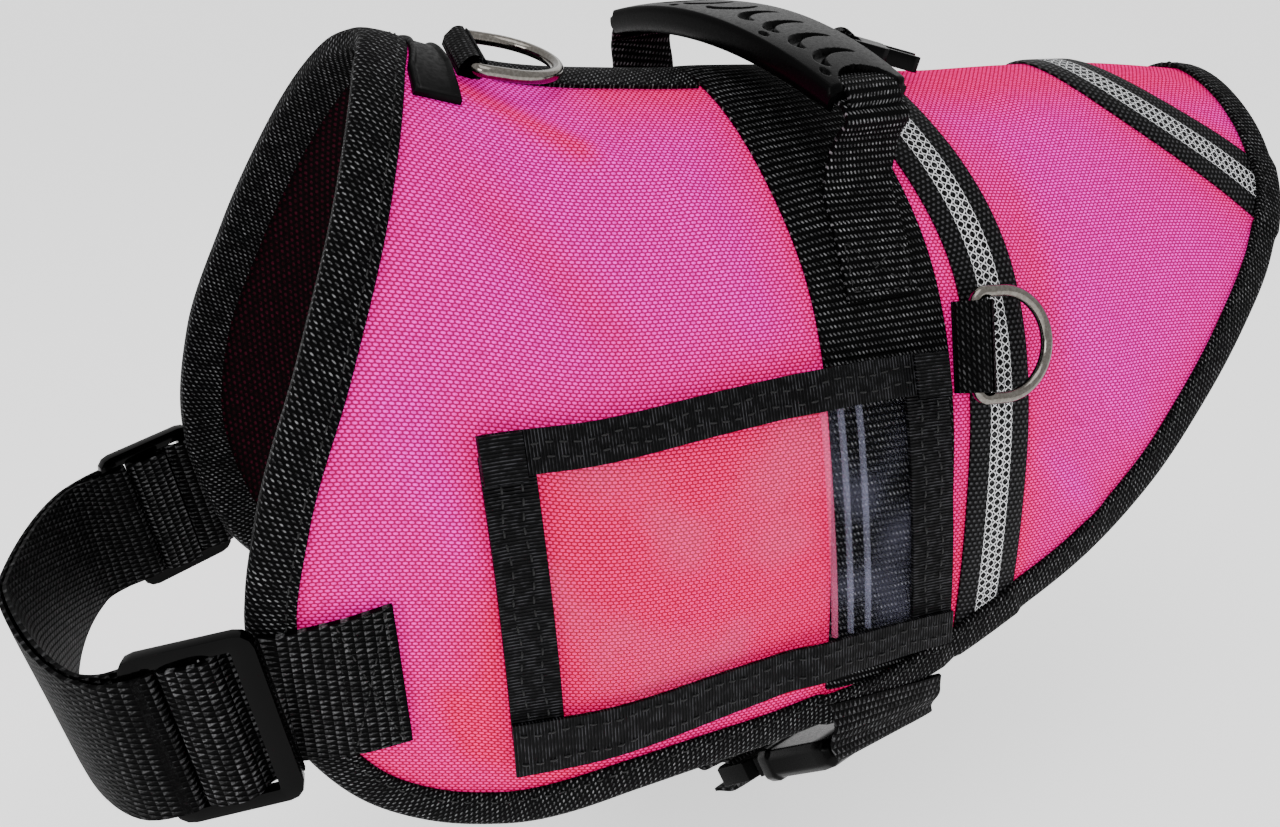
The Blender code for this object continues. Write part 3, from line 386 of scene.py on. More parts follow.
def surface_tables():
    """The shell's outer face and its outward directions at every millimetre of y and v."""
    y = np.arange(TABLE_Y[0], TABLE_Y[1] + 1)
    v = np.arange(-TABLE_V, TABLE_V + 1)
    x, drop = half_sections(y)
    reach = np.stack([runs(np.stack([x[i], drop[i]], 1)) for i in range(len(y))])
    half = np.array([np.interp(np.abs(v), reach[i], x[i]) for i in range(len(y))])
    down = np.array([np.interp(np.abs(v), reach[i], drop[i]) for i in range(len(y))])
    z = (station_value("spine_z", y) - LINING_IN)[:, None] - down
    points = np.stack([np.sign(v) * half, np.broadcast_to(y[:, None], z.shape), z], 2)
    facing = unit(np.cross(np.gradient(points, axis=1), np.gradient(points, axis=0)))
    return points, facing


SURFACE, FACING = surface_tables()


def sample(table, y, v):
    """A table's value between its millimetre points."""
    a = np.clip(y - TABLE_Y[0], 0, table.shape[0] - 1.001)
    b = np.clip(v + TABLE_V, 0, table.shape[1] - 1.001)
    i, j = a.astype(int), b.astype(int)
    s, t = (a - i)[..., None], (b - j)[..., None]
    return ((table[i, j] * (1 - t) + table[i, j + 1] * t) * (1 - s)
            + (table[i + 1, j] * (1 - t) + table[i + 1, j + 1] * t) * s)


def crease(y, v):
    """Height of the shared creases."""
    total = np.zeros(np.shape(y))
    for y0, v0, y1, v1, height, wide in CREASES:
        span = (y1 - y0)**2 + (v1 - v0)**2
        along = ((y - y0) * (y1 - y0) + (v - v0) * (v1 - v0)) / span
        off = ((y - y0) * (v1 - v0) - (v - v0) * (y1 - y0)) / math.sqrt(span)
        fade = np.exp(-((along - 0.5) / CREASE_FADE)**4)
        total = total + CREASE_HEIGHT * height * np.exp(-(off / (CREASE_WIDTH * wide))**2) * fade
    return total


def place(y, v, h, creased=True):
    """Points at height h over the shell's outer face."""
    y, v = np.broadcast_arrays(np.asarray(y, float), np.asarray(v, float))
    h = np.broadcast_to(np.asarray(h, float), y.shape)
    if creased:
        h = h + crease(y, v)
    return sample(SURFACE, y, v) + facing_at(y, v) * h[..., None]


def facing_at(y, v):
    return unit(sample(FACING, y, v))


def seam(y, v, h):
    """A row to stitch along: points at height h, with the outward directions there."""
    y, v = np.broadcast_arrays(np.asarray(y, float), np.asarray(v, float))
    return place(y, v, h), facing_at(y, v)


def box_seams(near, far, half, count, spot):
    """Rows of a sewn box with a cross in it; spot turns run and side into y, v and height."""
    corners = ((near, -half), (near, half), (far, half), (far, -half), (near, -half), (far, half),
               (far, -half), (near, half))
    share = np.linspace(0, 1, count)
    return [seam(*spot(a0 + (a1 - a0) * share, b0 + (b1 - b0) * share))
            for (a0, b0), (a1, b1) in zip(corners, corners[1:])]


def edge_loop(step):
    """The whole cut edge, left half then right half, as a closed loop."""
    right = [(y, -v) for y, v in reversed(EDGE[1:-1])]
    return smooth_path(list(EDGE) + right, step, closed=True)


def signed_area(loop):
    """Area inside a closed flat line, above 0 where it turns from y towards v."""
    (y, v), (next_y, next_v) = loop.T, np.roll(loop, -1, axis=0).T
    return float(np.sum(y * next_v - next_y * v)) / 2


def inward(loop):
    """Unit steps into the cloth at each point of the edge loop."""
    along = unit(np.roll(loop, -1, axis=0) - np.roll(loop, 1, axis=0))
    side = np.stack([-along[:, 1], along[:, 0]], 1)
    return side if signed_area(loop) > 0 else -side


def inset(loop, distance):
    return loop + inward(loop) * distance


def inside(loop, y, v):
    """Which flat points lie in a closed loop."""
    nxt = np.roll(loop, -1, axis=0)
    rise = np.where(nxt[:, 1] == loop[:, 1], 1e-9, nxt[:, 1] - loop[:, 1])
    y, v = np.atleast_1d(y)[:, None], np.atleast_1d(v)[:, None]
    spans = (loop[:, 1] > v) != (nxt[:, 1] > v)
    cross = loop[:, 0] + (v - loop[:, 1]) / rise * (nxt[:, 0] - loop[:, 0])
    return np.count_nonzero(spans & (y < cross), axis=1) % 2 == 1


def off_line(y, v, line):
    """Distance of flat points from a smooth line."""
    path = smooth_path(line, 3.0)
    flat = np.stack([np.ravel(y), np.ravel(v)], 1)
    best = np.full(len(flat), 1e9)
    for a, b in zip(path[:-1], path[1:]):
        along = np.clip(((flat - a) @ (b - a)) / np.dot(b - a, b - a), 0, 1)[:, None]
        best = np.minimum(best, np.linalg.norm(flat - a - along * (b - a), axis=1))
    return best.reshape(np.shape(y))


def both_sides(line):
    return [(y, -v) for y, v in reversed(line[1:])] + list(line)


# Straps over the shell: piece, CAD node, line, width, thickness, paint and slot
STRAPS = (
    ("girth_webbing", "girth_band", GIRTH_LINE, GIRTH_WIDTH, WEBBING, "girth", "webbing"),
    ("front_reflective_webbing", "front_reflective_strap", both_sides(FRONT_REFLECTIVE),
     REFLECTIVE_WIDTH, TAPE, "reflective", "reflective"),
    ("rear_reflective_webbing", "rear_reflective_strap", both_sides(REAR_REFLECTIVE),
     REFLECTIVE_WIDTH, TAPE, "reflective", "reflective"),
)


def strap_bulk(y, v):
    """Height of the straps that the binding has to ride over."""
    bulk = np.zeros(np.shape(y))
    for _, _, line, width, thick, _, _ in STRAPS:
        rise = ease((width / 2 + BULK_RUN - off_line(y, v, line)) / BULK_RUN)
        bulk = np.maximum(bulk, rise * thick)
    return bulk


def value(height, y, v):
    """A height that is given as a function, a grid or one number."""
    return height(y, v) if callable(height) else np.broadcast_to(np.asarray(height, float), np.shape(y))


def add_object(name, data):
    item = bpy.data.objects.new(name, data)
    bpy.context.scene.collection.objects.link(item)
    return item


def finish_mesh(name, mesh, material, sharp):
    """Give a mesh its material, and smooth shading but for edges sharper than an angle."""
    mesh.materials.append(material)
    mesh.shade_smooth()
    mesh.set_sharp_from_angle(angle=math.radians(sharp))
    return add_object(name, mesh)


def make_object(name, points, faces, material, cloth=None, sharp=40):
    """An object from points in millimetres, with its cloth coordinates kept as a UV map."""
    mesh = bpy.data.meshes.new(name)
    mesh.from_pydata((np.asarray(points).reshape(-1, 3) * MM).tolist(), [], faces)
    if cloth is not None:
        uv_map = mesh.uv_layers.new(name="cloth")
        index = np.zeros(len(mesh.loops), int)
        mesh.loops.foreach_get("vertex_index", index)
        uv_map.data.foreach_set("uv", np.asarray(cloth, np.float32).reshape(-1, 2)[index].ravel())
    form = bmesh.new()
    form.from_mesh(mesh)
    if form.calc_volume(signed=True) < 0:
        bmesh.ops.reverse_faces(form, faces=form.faces[:])
    form.to_mesh(mesh)
    form.free()
    return finish_mesh(name, mesh, material, sharp)


def quads(index):
    """Faces between neighbours in a grid of point numbers."""
    return np.stack([index[:-1, :-1], index[1:, :-1], index[1:, 1:], index[:-1, 1:]], -1).reshape(-1, 4)


def layer(name, flat, low, high, material, cloth=None):
    """A cloth piece from a grid of flat points: outer face, inner face and the cut rim between them."""
    flat = np.asarray(flat, float)
    y, v = flat[..., 0], flat[..., 1]
    points = [place(y, v, value(height, y, v)).reshape(-1, 3) for height in (high, low)]
    index = np.arange(y.size).reshape(y.shape)
    rim = np.concatenate([index[0, :], index[1:, -1], index[-1, -2::-1], index[-2:0:-1, 0]])
    nxt = np.roll(rim, -1)
    faces = np.vstack([quads(index), quads(index + y.size)[:, ::-1],
                       np.stack([rim, nxt, nxt + y.size, rim + y.size], 1)]).tolist()
    cloth = flat if cloth is None else np.asarray(cloth, float)
    return make_object(name, np.vstack(points), faces, material, np.vstack([cloth.reshape(-1, 2)] * 2))


def swept(name, rings, material, closed=False, cloth=None, sharp=40):
    """A solid through equal point rings, capped at its ends unless it closes on itself."""
    rings = np.asarray(rings, float)
    count, size = rings.shape[:2]
    index = np.arange(count * size).reshape(count, size)
    index = np.hstack([index, index[:, :1]])
    if closed:
        index = np.vstack([index, index[:1]])
    faces = quads(index)[:, (0, 3, 2, 1)].tolist()
    if not closed:
        faces.append(list(range(size)))
        faces.append(list(reversed(range((count - 1) * size, count * size))))
    if cloth is None:
        cloth = run_grid(runs(rings.mean(axis=1)), runs(rings[0]))
    return make_object(name, rings, faces, material, cloth, sharp)


def run_grid(along, across):
    """Cloth coordinates of rows and columns."""
    return np.stack(np.broadcast_arrays(along[:, None], across[None]), -1)


def strap(name, points, across, normals, width, thick, material, closed=False, ribs=11):
    """Webbing swept through points: rounded edges, and cloth coordinates along and across it."""
    offsets = np.sin(np.linspace(-1, 1, ribs) * math.pi / 2) / 2
    thin = thick / 2 * (1 - STRAP_ROUND * np.abs(2 * offsets)**6)
    side = np.concatenate([offsets, offsets[::-1]]) * width
    lift = np.concatenate([thin, -thin[::-1]])
    rings = (points[:, None] + unit(across)[:, None] * side[:, None]
             + unit(normals)[:, None] * lift[:, None])
    return swept(name, rings, material, closed, run_grid(runs(points), side), 60)


def strap_grid(line, width, limit):
    """Flat grid of a strap on the shell, cut where it passes under the binding."""
    path = smooth_path(line, 2.0)
    along = unit(np.gradient(path, axis=0))
    side = np.stack([-along[:, 1], along[:, 0]], 1)
    travel = runs(path)
    flat, cloth = [], []
    for offset in np.linspace(-0.5, 0.5, 15) * width:
        edge = path + side * offset
        kept = np.flatnonzero(inside(limit, edge[:, 0], edge[:, 1]))
        at = np.linspace(travel[kept[0]], travel[kept[-1]], len(path))
        flat.append(np.stack([np.interp(at, travel, edge[:, k]) for k in range(2)], 1))
        cloth.append(np.stack([at, np.full(len(at), offset)], 1))
    return np.array(flat), np.array(cloth)


def quad_grid(corners, step):
    """Flat grid between four corners given in turn."""
    a, b, c, d = (np.asarray(p, float) for p in corners)
    rows = max(2, int(np.linalg.norm(b - a) / step) + 1)
    cols = max(2, int(np.linalg.norm(d - a) / step) + 1)
    s = np.linspace(0, 1, rows)[:, None, None]
    t = np.linspace(0, 1, cols)[None, :, None]
    return (a * (1 - s) + b * s) * (1 - t) + (d * (1 - s) + c * s) * t


def stitches(name, rows, material, size):
    """Lock stitches: one small spindle each, laid along rows of (point, outward direction)."""
    length, gap, radius = size
    turns = np.linspace(0, 2 * math.pi, 7)[:-1]
    points, faces = [], []
    for path, facing in rows:
        travel = runs(path)
        for start in np.arange(0.3, travel[-1] - length, length + gap):
            ends = [np.array([np.interp(start + d, travel, path[:, k]) for k in range(3)])
                    for d in (0, length)]
            normal = unit([np.interp(start, travel, facing[:, k]) for k in range(3)])
            side = np.cross(normal, unit(ends[1] - ends[0]))
            first = len(points)
            for share, wide in SPINDLE:
                sink = radius * (1.3 - 1.6 * math.sin(math.pi * share))
                middle = ends[0] * (1 - share) + ends[1] * share - normal * sink
                points += [middle + (side * math.cos(t) + normal * math.sin(t)) * radius * wide
                           for t in turns]
            for a in range(first, first + 24, 6):
                faces += [(a + k, a + (k + 1) % 6, a + 6 + (k + 1) % 6, a + 6 + k) for k in range(6)]
            faces.append(tuple(first + k for k in reversed(range(6))))
            faces.append(tuple(first + 24 + k for k in range(6)))
    return make_object(name, points, faces, material, None, 80)


def softened(name, node, width, material):
    """A new piece with a CAD solid's form and moulded, rounded edges."""
    form = bmesh.new()
    form.from_mesh(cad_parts[node].data)
    bmesh.ops.remove_doubles(form, verts=form.verts[:], dist=0.00002)
    bmesh.ops.dissolve_limit(form, angle_limit=math.radians(1), verts=form.verts[:], edges=form.edges[:])
    edges = [e for e in form.edges if len(e.link_faces) == 2 and e.calc_face_angle() > math.radians(28)]
    bmesh.ops.bevel(form, geom=edges, offset=width * MM, segments=3, profile=0.5,
                    affect="EDGES", clamp_overlap=True)
    bmesh.ops.triangulate(form, faces=[f for f in form.faces if len(f.verts) > 4])
    mesh = bpy.data.meshes.new(name)
    form.to_mesh(mesh)
    form.free()
    mesh.polygons.foreach_set("material_index", [0] * len(mesh.polygons))
    return finish_mesh(name, mesh, material, 50)


# Materials

def node_math(operation):
    return lambda self, *others: self.paint.math(operation, self, *others)


class Signal:
    """A number that a material's nodes work out."""

    def __init__(self, paint, socket):
        self.paint, self.socket = paint, socket

    __add__ = node_math("ADD")
    __sub__ = node_math("SUBTRACT")
    __mul__ = node_math("MULTIPLY")
    __truediv__ = node_math("DIVIDE")
    floor = node_math("FLOOR")
    fract = node_math("FRACT")
    sine = node_math("SINE")
    absolute = node_math("ABSOLUTE")

    def ramp(self, low, high, to_low=0.0, to_high=1.0):
        """Smooth step from low to high."""
        node = self.paint.node("MapRange")
        node.interpolation_type = "SMOOTHSTEP"
        for value_in, socket in zip((self, low, high, to_low, to_high), node.inputs):
            self.paint.link(value_in, socket)
        return Signal(self.paint, node.outputs[0])


class Paint:
    """Builds one procedural material on its Principled shader."""

    def __init__(self, name, roughness, specular=0.5, metallic=0.0):
        self.material = bpy.data.materials.new(name)
        self.material.use_nodes = True
        self.tree = self.material.node_tree
        self.shader = self.tree.nodes["Principled BSDF"]
        self.put("Roughness", roughness)
        self.put("Specular IOR Level", specular)
        self.put("Metallic", metallic)

    def node(self, kind):
        return self.tree.nodes.new("ShaderNode" + kind)

    def link(self, value_in, socket):
        """Link a signal or colour socket to an input, or set a plain value there."""
        source = value_in.socket if isinstance(value_in, Signal) else value_in
        if isinstance(source, bpy.types.NodeSocket):
            self.tree.links.new(source, socket)
        else:
            socket.default_value = source

    def put(self, name, value_in):
        self.link(value_in, self.shader.inputs[name])

    def math(self, operation, *values, clamp=False):
        node = self.node("Math")
        node.operation = operation
        node.use_clamp = clamp
        for value_in, socket in zip(values, node.inputs):
            self.link(value_in, socket)
        return Signal(self, node.outputs[0])

    def mix(self, share, a, b):
        node = self.node("Mix")
        node.data_type = "RGBA"
        for value_in, number in ((share, 0), (a, 6), (b, 7)):
            self.link(value_in, node.inputs[number])
        return node.outputs[2]

    def cloth(self):
        """Cloth coordinates in millimetres."""
        node = self.node("UVMap")
        node.uv_map = "cloth"
        split = self.node("SeparateXYZ")
        self.tree.links.new(node.outputs[0], split.inputs[0])
        return Signal(self, split.outputs[0]), Signal(self, split.outputs[1])

    def noise(self, scale, detail=2.0):
        """Noise in object space; the scale is in cells a metre."""
        node = self.node("TexNoise")
        self.tree.links.new(self.node("TexCoord").outputs["Object"], node.inputs["Vector"])
        node.inputs["Scale"].default_value = scale
        node.inputs["Detail"].default_value = detail
        node.inputs["Roughness"].default_value = 0.5
        return Signal(self, node.outputs[0])

    def attribute(self, name):
        node = self.node("Attribute")
        node.attribute_name = name
        return Signal(self, node.outputs["Fac"])

    def bump(self, height, distance, strength):
        node = self.node("Bump")
        node.inputs["Strength"].default_value = strength
        node.inputs["Distance"].default_value = distance * MM
        self.link(height, node.inputs["Height"])
        self.put("Normal", node.outputs[0])

    def colour(self, value_in):
        self.put("Base Color", value_in)

    def dashes(self, along, across, pitch_along, pitch_across, slant=0.0):
        """Brick-like rows of thread floats: one for each cell, high in its middle."""
        row = along / pitch_along
        number = row.floor()
        part = row - number
        inner = (across / pitch_across + number * 0.5 + part * slant).fract()
        return (part * math.pi).sine() * (inner * math.pi).sine()

    def wedges(self, along, across, pitch_along, pitch_across):
        """Columns of small triangular floats that point along the webbing, every second column back."""
        row = along / pitch_along
        number = row.floor()
        part = row - number
        off = ((across / pitch_across + number * 0.5).fract() * 2.0 - 1.0).absolute()
        return self.math("ADD", (part * WEDGE_SHAPE - off) * 1.3, 0.45, clamp=True)


def pink_oxford():
    """Neon pink oxford: brick-laid float threads, painted magenta where lit and coral shade by straps and
    seams.
    """
    paint = Paint("pink_oxford_weave", 0.7, 0.0)
    u, v = paint.cloth()
    floats = paint.dashes(v, u, WEAVE_SHORT, WEAVE_LONG)
    # Painted highlight and shade of the weave: floats lighter, the gaps between them in the deep colours
    lift = floats.ramp(0.12, 0.8) * paint.noise(900.0).ramp(0.3, 0.6, 0.6, 1.0)
    drift = (paint.noise(22.0, 3.0) - 0.5) * 0.5
    shaded = paint.math("ADD", paint.attribute("painted_shade"), drift, clamp=True)
    shade = paint.mix(lift, paint.mix(shaded, PINK_LIT_DEEP, PINK_SHADED_DEEP),
                      paint.mix(shaded, PINK_LIT, PINK_SHADED))
    paint.colour(shade)
    paint.bump(floats, 0.25, 0.8)
    # Painted glow: the cloth emits its own painted colour, though it is no lamp
    paint.put("Emission Color", shade)
    paint.put("Emission Strength", PINK_GLOW)
    return paint.material


def dark_mesh():
    """Lining: black knitted mesh with dark red showing through its eyes."""
    paint = Paint("lining_knit_mesh", 0.85, 0.06)
    eyes = paint.dashes(*paint.cloth(), 1.5, 2.1).ramp(0.4, 0.85)
    eyes = eyes * paint.noise(500.0).ramp(0.35, 0.65, 0.2, 1.0)
    paint.colour(paint.mix(eyes, (0.0025, 0.0008, 0.0012, 1), (0.05, 0.003, 0.012, 1)))
    paint.bump(eyes * -1.0, 0.5, 0.9)
    return paint.material


def webbing(name, pitch_along, pitch_across, glint, base, soft=0.5, wedge=False):
    """Black woven webbing: rows of floats with a painted highlight in their colour, broken up by the fibres.
    """
    paint = Paint(name, 0.6, 0.03)
    u, v = paint.cloth()
    if wedge:
        floats = paint.wedges(u, v, pitch_along, pitch_across)
    else:
        floats = paint.dashes(u, v, pitch_along, pitch_across, TWILL_SLANT)
    fibre = paint.noise(1500.0)
    glint_patches = paint.noise(330.0, 1.0).ramp(0.35, 0.65, 0.35, 1.0)
    # Painted highlight: the floats are lighter in the base colour, in patches and along the fibres
    shine = floats.ramp(soft, 0.95) * (glint_patches * fibre.ramp(0.36, 0.66, 0.15, 1.0))
    paint.colour(paint.mix(shine, (base, base, base * 1.1, 1), (glint, glint, glint * 1.03, 1)))
    paint.bump(floats + fibre * 0.3, 0.3, 0.9)
    return paint.material


def grosgrain():
    """Ribbon with fine ribs across it, their crests painted lighter as a highlight."""
    paint = Paint("black_grosgrain_ribs", 0.5, 0.06)
    ribs = (paint.cloth()[0] * (2 * math.pi / GROSGRAIN_RIB)).sine()
    # Painted highlight: the rib crests are lighter in the base colour, in patches
    level = ribs.ramp(0.1, 1.0) * paint.noise(420.0).ramp(0.4, 0.7, 0.1, 1.0)
    paint.colour(paint.mix(level, (0.0008, 0.0008, 0.001, 1), (0.045, 0.045, 0.05, 1)))
    paint.bump(ribs, 0.22, 0.9)
    return paint.material


def reflective():
    """Black webbing with three columns of silver chain stitches down its middle."""
    paint = Paint("reflective_webbing_weave", 0.5, 0.06)
    u, v = paint.cloth()
    column = v / CHAIN_COLUMN + 0.5
    number = column.floor()
    off = column - number - 0.5
    swing = (u * (math.pi / CHAIN_PITCH) + number * (math.pi / 2)).sine().absolute() * 0.52
    strand = (off.absolute() - swing).absolute().ramp(0.07, 0.15, 1.0, 0.0)
    silver = strand * v.absolute().ramp(1.55 * CHAIN_COLUMN, 1.62 * CHAIN_COLUMN, 1.0, 0.0)
    floats = paint.dashes(u, v, 1.35, 1.7)
    # Painted highlight: the black floats are lighter grey in the base colour
    black = paint.mix(floats.ramp(0.5, 0.95), (0.001, 0.001, 0.0012, 1), (0.05, 0.05, 0.053, 1))
    paint.colour(paint.mix(silver, black, (0.9, 0.91, 0.93, 1)))
    paint.bump(silver * 0.9 + floats * 0.8, 0.3, 0.8)
    return paint.material


def moulded(name, level, roughness, grain, depth, gloss):
    """Moulded plastic or rubber: fine grain and a little wear."""
    paint = Paint(name, roughness, gloss)
    fine = paint.noise(grain, 3.0)
    shade = paint.noise(60.0).ramp(0.3, 0.7, 0.75, 1.15) * level
    combine = paint.node("CombineColor")
    for socket, tint in zip(combine.inputs, (1.0, 1.0, 1.03)):
        paint.link(shade * tint, socket)
    paint.colour(combine.outputs[0])
    paint.put("Roughness", fine.ramp(0.3, 0.7, roughness * 0.85, roughness * 1.2))
    paint.bump(fine, depth, 0.6)
    return paint.material


def nickel():
    paint = Paint("polished_nickel", 0.12, 0.5, 1.0)
    scratch = paint.noise(1400.0)
    paint.colour(paint.mix(scratch.ramp(0.35, 0.7), (0.15, 0.138, 0.122, 1), (0.21, 0.197, 0.178, 1)))
    paint.put("Roughness", scratch.ramp(0.3, 0.75, 0.08, 0.2))
    paint.bump(scratch, 0.02, 0.3)
    return paint.material


def clear_sheet(name, reflection_veil, tint, swing):
    """Clear vinyl: nearly all see-through, with a painted reflection as a veil along soft streaks and at
    grazing angles.
    """
    paint = Paint(name, 0.1, 0.3)
    streak = paint.noise(40.0, 1.0)
    weight = paint.node("LayerWeight")
    weight.inputs[0].default_value = 0.25
    # Painted reflection: more opaque and tinted at grazing angles and along the streaks
    grazing_reflection = Signal(paint, weight.outputs["Fresnel"]) * 0.02
    painted_streaks = streak.ramp(0.4, 0.7, reflection_veil * (1 - swing), reflection_veil * (1 + swing))
    paint.colour(tint)
    paint.put("Alpha", paint.math("ADD", painted_streaks, grazing_reflection, clamp=True))
    paint.bump(streak, 0.1, 0.4)
    return paint.material


# Pieces

def on_body(item, slot_name, *nodes, body="vest"):
    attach(item, body)
    if nodes:
        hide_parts(*nodes)
    return item


def panel_grid(cut, step_v, columns):
    """Flat grid over the whole panel: a row for each girth line, cut by the front and back edges."""
    half = cut[cut[:, 1] > -2]
    apex = int(np.argmax(half[:, 1]))
    top = half[apex, 1]
    v = np.concatenate([np.arange(0, top - HEM_ROWS[0] - 1, step_v), top - np.array(HEM_ROWS)])
    ends = []
    for edge in (half[:apex + 1], half[apex:][::-1]):
        edge_v = np.maximum.accumulate(edge[:, 1]) + np.arange(len(edge)) * 1e-6
        ends.append(np.interp(v, edge_v, edge[:, 0])[:, None])
    share = np.linspace(0, 1, columns)
    y = ends[0] * (1 - share) + ends[1] * share
    flat = np.stack([y, np.broadcast_to(v[:, None], y.shape)], 2)
    return np.vstack([flat[:0:-1] * (1, -1), flat])


def set_painted_shade(item, flat):
    """Painted shade: how coral the pink looks, strong by straps, seams and in troughs, weak on open lit
    cloth.
    """
    y, v = flat[..., 0].ravel(), flat[..., 1].ravel()
    near = off_line(y, v, TONE_POCKET) - 1.0
    for _, _, line, width, _, _, _ in STRAPS:
        near = np.minimum(near, off_line(y, v, line) - width / 2)
    edge = edge_loop(6.0)
    rim = np.min(np.hypot(y[:, None] - edge[None, :, 0], v[:, None] - edge[None, :, 1]), axis=1)
    near = np.minimum(near, rim - BINDING_FACE + TONE_RIM)
    painted_shade = np.exp(-np.maximum(near, 0) / TONE_REACH) * TONE_EDGE
    # Painted shade: more coral low down the sides and in the troughs of the creases
    low = np.clip((np.abs(v) - TONE_LOW[0]) / TONE_LOW[1], 0, 1) * TONE_LOW[2]
    painted_shade = np.clip(painted_shade + low - crease(y, v) * TONE_TROUGH, 0, 1)
    # Painted shade along one crease and along the spine
    fold = TONE_FOLD[0] * np.exp(-(off_line(y, v, TONE_CREASE) / TONE_FOLD[1])**2)
    top = TONE_SPINE * np.exp(-((np.abs(v) - 12) / 15).clip(0)**2) * np.clip((y + 66) / 20, 0, 1)
    painted_shade = np.maximum(np.maximum(painted_shade, fold), top)
    painted_shade = np.where(inside(np.array(TONE_POCKET, float), y, v), np.maximum(painted_shade, TONE_WINDOW), painted_shade)
    values = item.data.attributes.new("painted_shade", "FLOAT", "POINT")
    values.data.foreach_set("value", np.tile(painted_shade, 2).astype(np.float32))


def build_panels(paints):
    """Shell and lining, cut alike."""
    cut = inset(edge_loop(2.0), CUT_BACK)
    flat = panel_grid(cut, *SHELL_GRID)
    shell = layer("shell_cloth", flat, -SHELL, 0.0, paints["pink"])
    set_painted_shade(shell, flat)
    on_body(shell, "shell_cloth", "shell_panel")
    flat = panel_grid(cut, *LINING_GRID)
    lining = layer("lining_cloth", flat, LINING_IN, -SHELL - GAP, paints["mesh"])
    on_body(lining, "lining_mesh", "lining_panel")
    return shell


def build_binding(paints):
    """The folded tape round the whole edge, riding up over the straps that end under it."""
    loop = edge_loop(2.2)
    steps = inward(loop)
    low = LINING_IN - BINDING_CLEAR - BINDING_WALL
    bulk = strap_bulk(*(loop + steps * BULK_AT).T)
    top = BINDING_CLEAR + BINDING_WALL + 0.35 + bulk
    face, wall = BINDING_FACE, BINDING_WALL
    # The section from the outer face's inner edge round the fold to the inner face, then back inside
    rows = [(face, top - 0.55), (face - 0.4, top - 0.12), (face - 1.6, top - 0.12), (face - 3.0, top + 0.05),
            (7.0, top + 0.1), (5.0, top + 0.1), (3.0, top), (1.5, top - 0.25), (0.5, top - 0.8),
            (0, top - 1.6), (0, (top + low) / 2), (0, low + 1.2), (0.5, low + 0.4), (1.5, low), (4.0, low),
            (8.0, low), (face, low + 0.1), (face, low + wall), (wall, low + wall),
            (wall, BINDING_CLEAR), (6.0, BINDING_CLEAR + bulk), (face, BINDING_CLEAR + bulk * 0.9)]
    rings = np.stack([place(*(loop + steps * into).T, height) for into, height in rows], 1)
    travel = runs(np.vstack([loop, loop[:1]]))
    girth = runs(np.array([(into, np.mean(height)) for into, height in rows]))
    binding = swept("edge_binding_tape", rings, paints["binding"], True, run_grid(travel[:-1], girth), 70)
    on_body(binding, "webbing", "edge_binding")
    line = loop + steps * (face - 2.2)
    row = seam(*np.vstack([line, line[:1]]).T, np.append(top, top[0]) + 0.06)
    thread = stitches("binding_stitches", [row], paints["thread"], BINDING_STITCH)
    on_body(thread, "webbing")


def build_straps(paints):
    """Spine tape, girth band and the two reflective straps."""
    limit = inset(edge_loop(2.0), UNDER_BINDING)
    start, end = SPINE_TAPE_ENDS
    half = SPINE_TAPE_WIDTH / 2
    flat = quad_grid(strip(start, end + TAPE_REACH, -half, half), 1.2)
    tape = layer("spine_tape_ribbon", flat, GAP, GAP + TAPE, paints["binding"])
    on_body(tape, "webbing", "spine_tape")
    rows = [seam(np.linspace(start + 1, end, 60), side * (half - 1.8), GAP + TAPE) for side in (-1, 1)]
    thread = stitches("spine_tape_stitches", rows, paints["thread"], PLAIN_STITCH)
    on_body(thread, "webbing")
    for name, node, line, width, thick, paint, slot in STRAPS:
        flat, cloth = strap_grid(line, width, limit)
        crown = GAP + thick * (1 - 0.4 * np.abs(2 * cloth[..., 1] / width)**8)
        band = layer(name, flat, GAP, crown, paints[paint], cloth)
        on_body(band, slot, node)


def build_label(paints):
    """Rubber label: a plain field inside a raised rim."""
    across, lean = LABEL_Y
    limit = inset(edge_loop(2.0), BINDING_FACE + 0.5)
    v = np.linspace(-LABEL_HALF, LABEL_HALF, 110)
    middle = across + lean * (np.abs(v) - 12).clip(0)
    tail = (middle + LABEL_WIDTH / 2)[:, None]
    edge = limit[limit[:, 0] < -60]
    edge = edge[np.argsort(edge[:, 1])]
    neck = np.maximum(middle - LABEL_WIDTH / 2, np.interp(v, edge[:, 1], edge[:, 0]))[:, None]
    share = np.linspace(0, 1, 26)
    y = neck * (1 - share) + tail * share
    v = np.broadcast_to(v[:, None], y.shape)
    deep = np.minimum(np.minimum(y - neck, tail - y), LABEL_HALF - np.abs(v))
    height = GAP + LABEL_THICK - 0.45 + 0.75 * ease((LABEL_RIM + 0.35 - deep) / 0.7)
    height = height - 0.6 * np.clip(1 - deep / 0.5, 0, 1)**2
    label = layer("rubber_label_plate", np.stack([y, v], 2), GAP, height, paints["rubber"])
    on_body(label, "rubber", "rubber_label")


def pocket_point(a, b):
    """Where a point lies that is given along and across the pocket, which bows up in its middle."""
    b = b - POCKET_BOW * (1 - (2 * a / POCKET_SIZE[0])**2)
    return (POCKET_CENTRE[0] + a * math.cos(POCKET_TURN_LENGTH) + b * math.sin(POCKET_TURN_DEPTH),
            POCKET_CENTRE[1] - a * math.sin(POCKET_TURN_LENGTH) + b * math.cos(POCKET_TURN_DEPTH))


def pocket_height(base):
    """Height of a pocket layer: on the shell at the neck end, on the girth band at the tail end."""
    low, high = POCKET_RAMP
    return lambda y, _: base + ease((y - low) / (high - low)) * (GAP + WEBBING)


def pocket_grid(corners, step):
    """A pocket piece's own grid, and its flat points on the shell."""
    local = quad_grid(corners, step)
    return local, np.stack(pocket_point(local[..., 0], local[..., 1]), -1)


def pocket_layer(name, corners, low, thick, material, turned=False, step=1.1):
    local, flat = pocket_grid(corners, step)
    cloth = local[..., ::-1] if turned else local
    return layer(name, flat, pocket_height(low), pocket_height(low + thick), material, cloth)


def strip(start, end, low, high):
    return (start, low), (end, low), (end, high), (start, high)


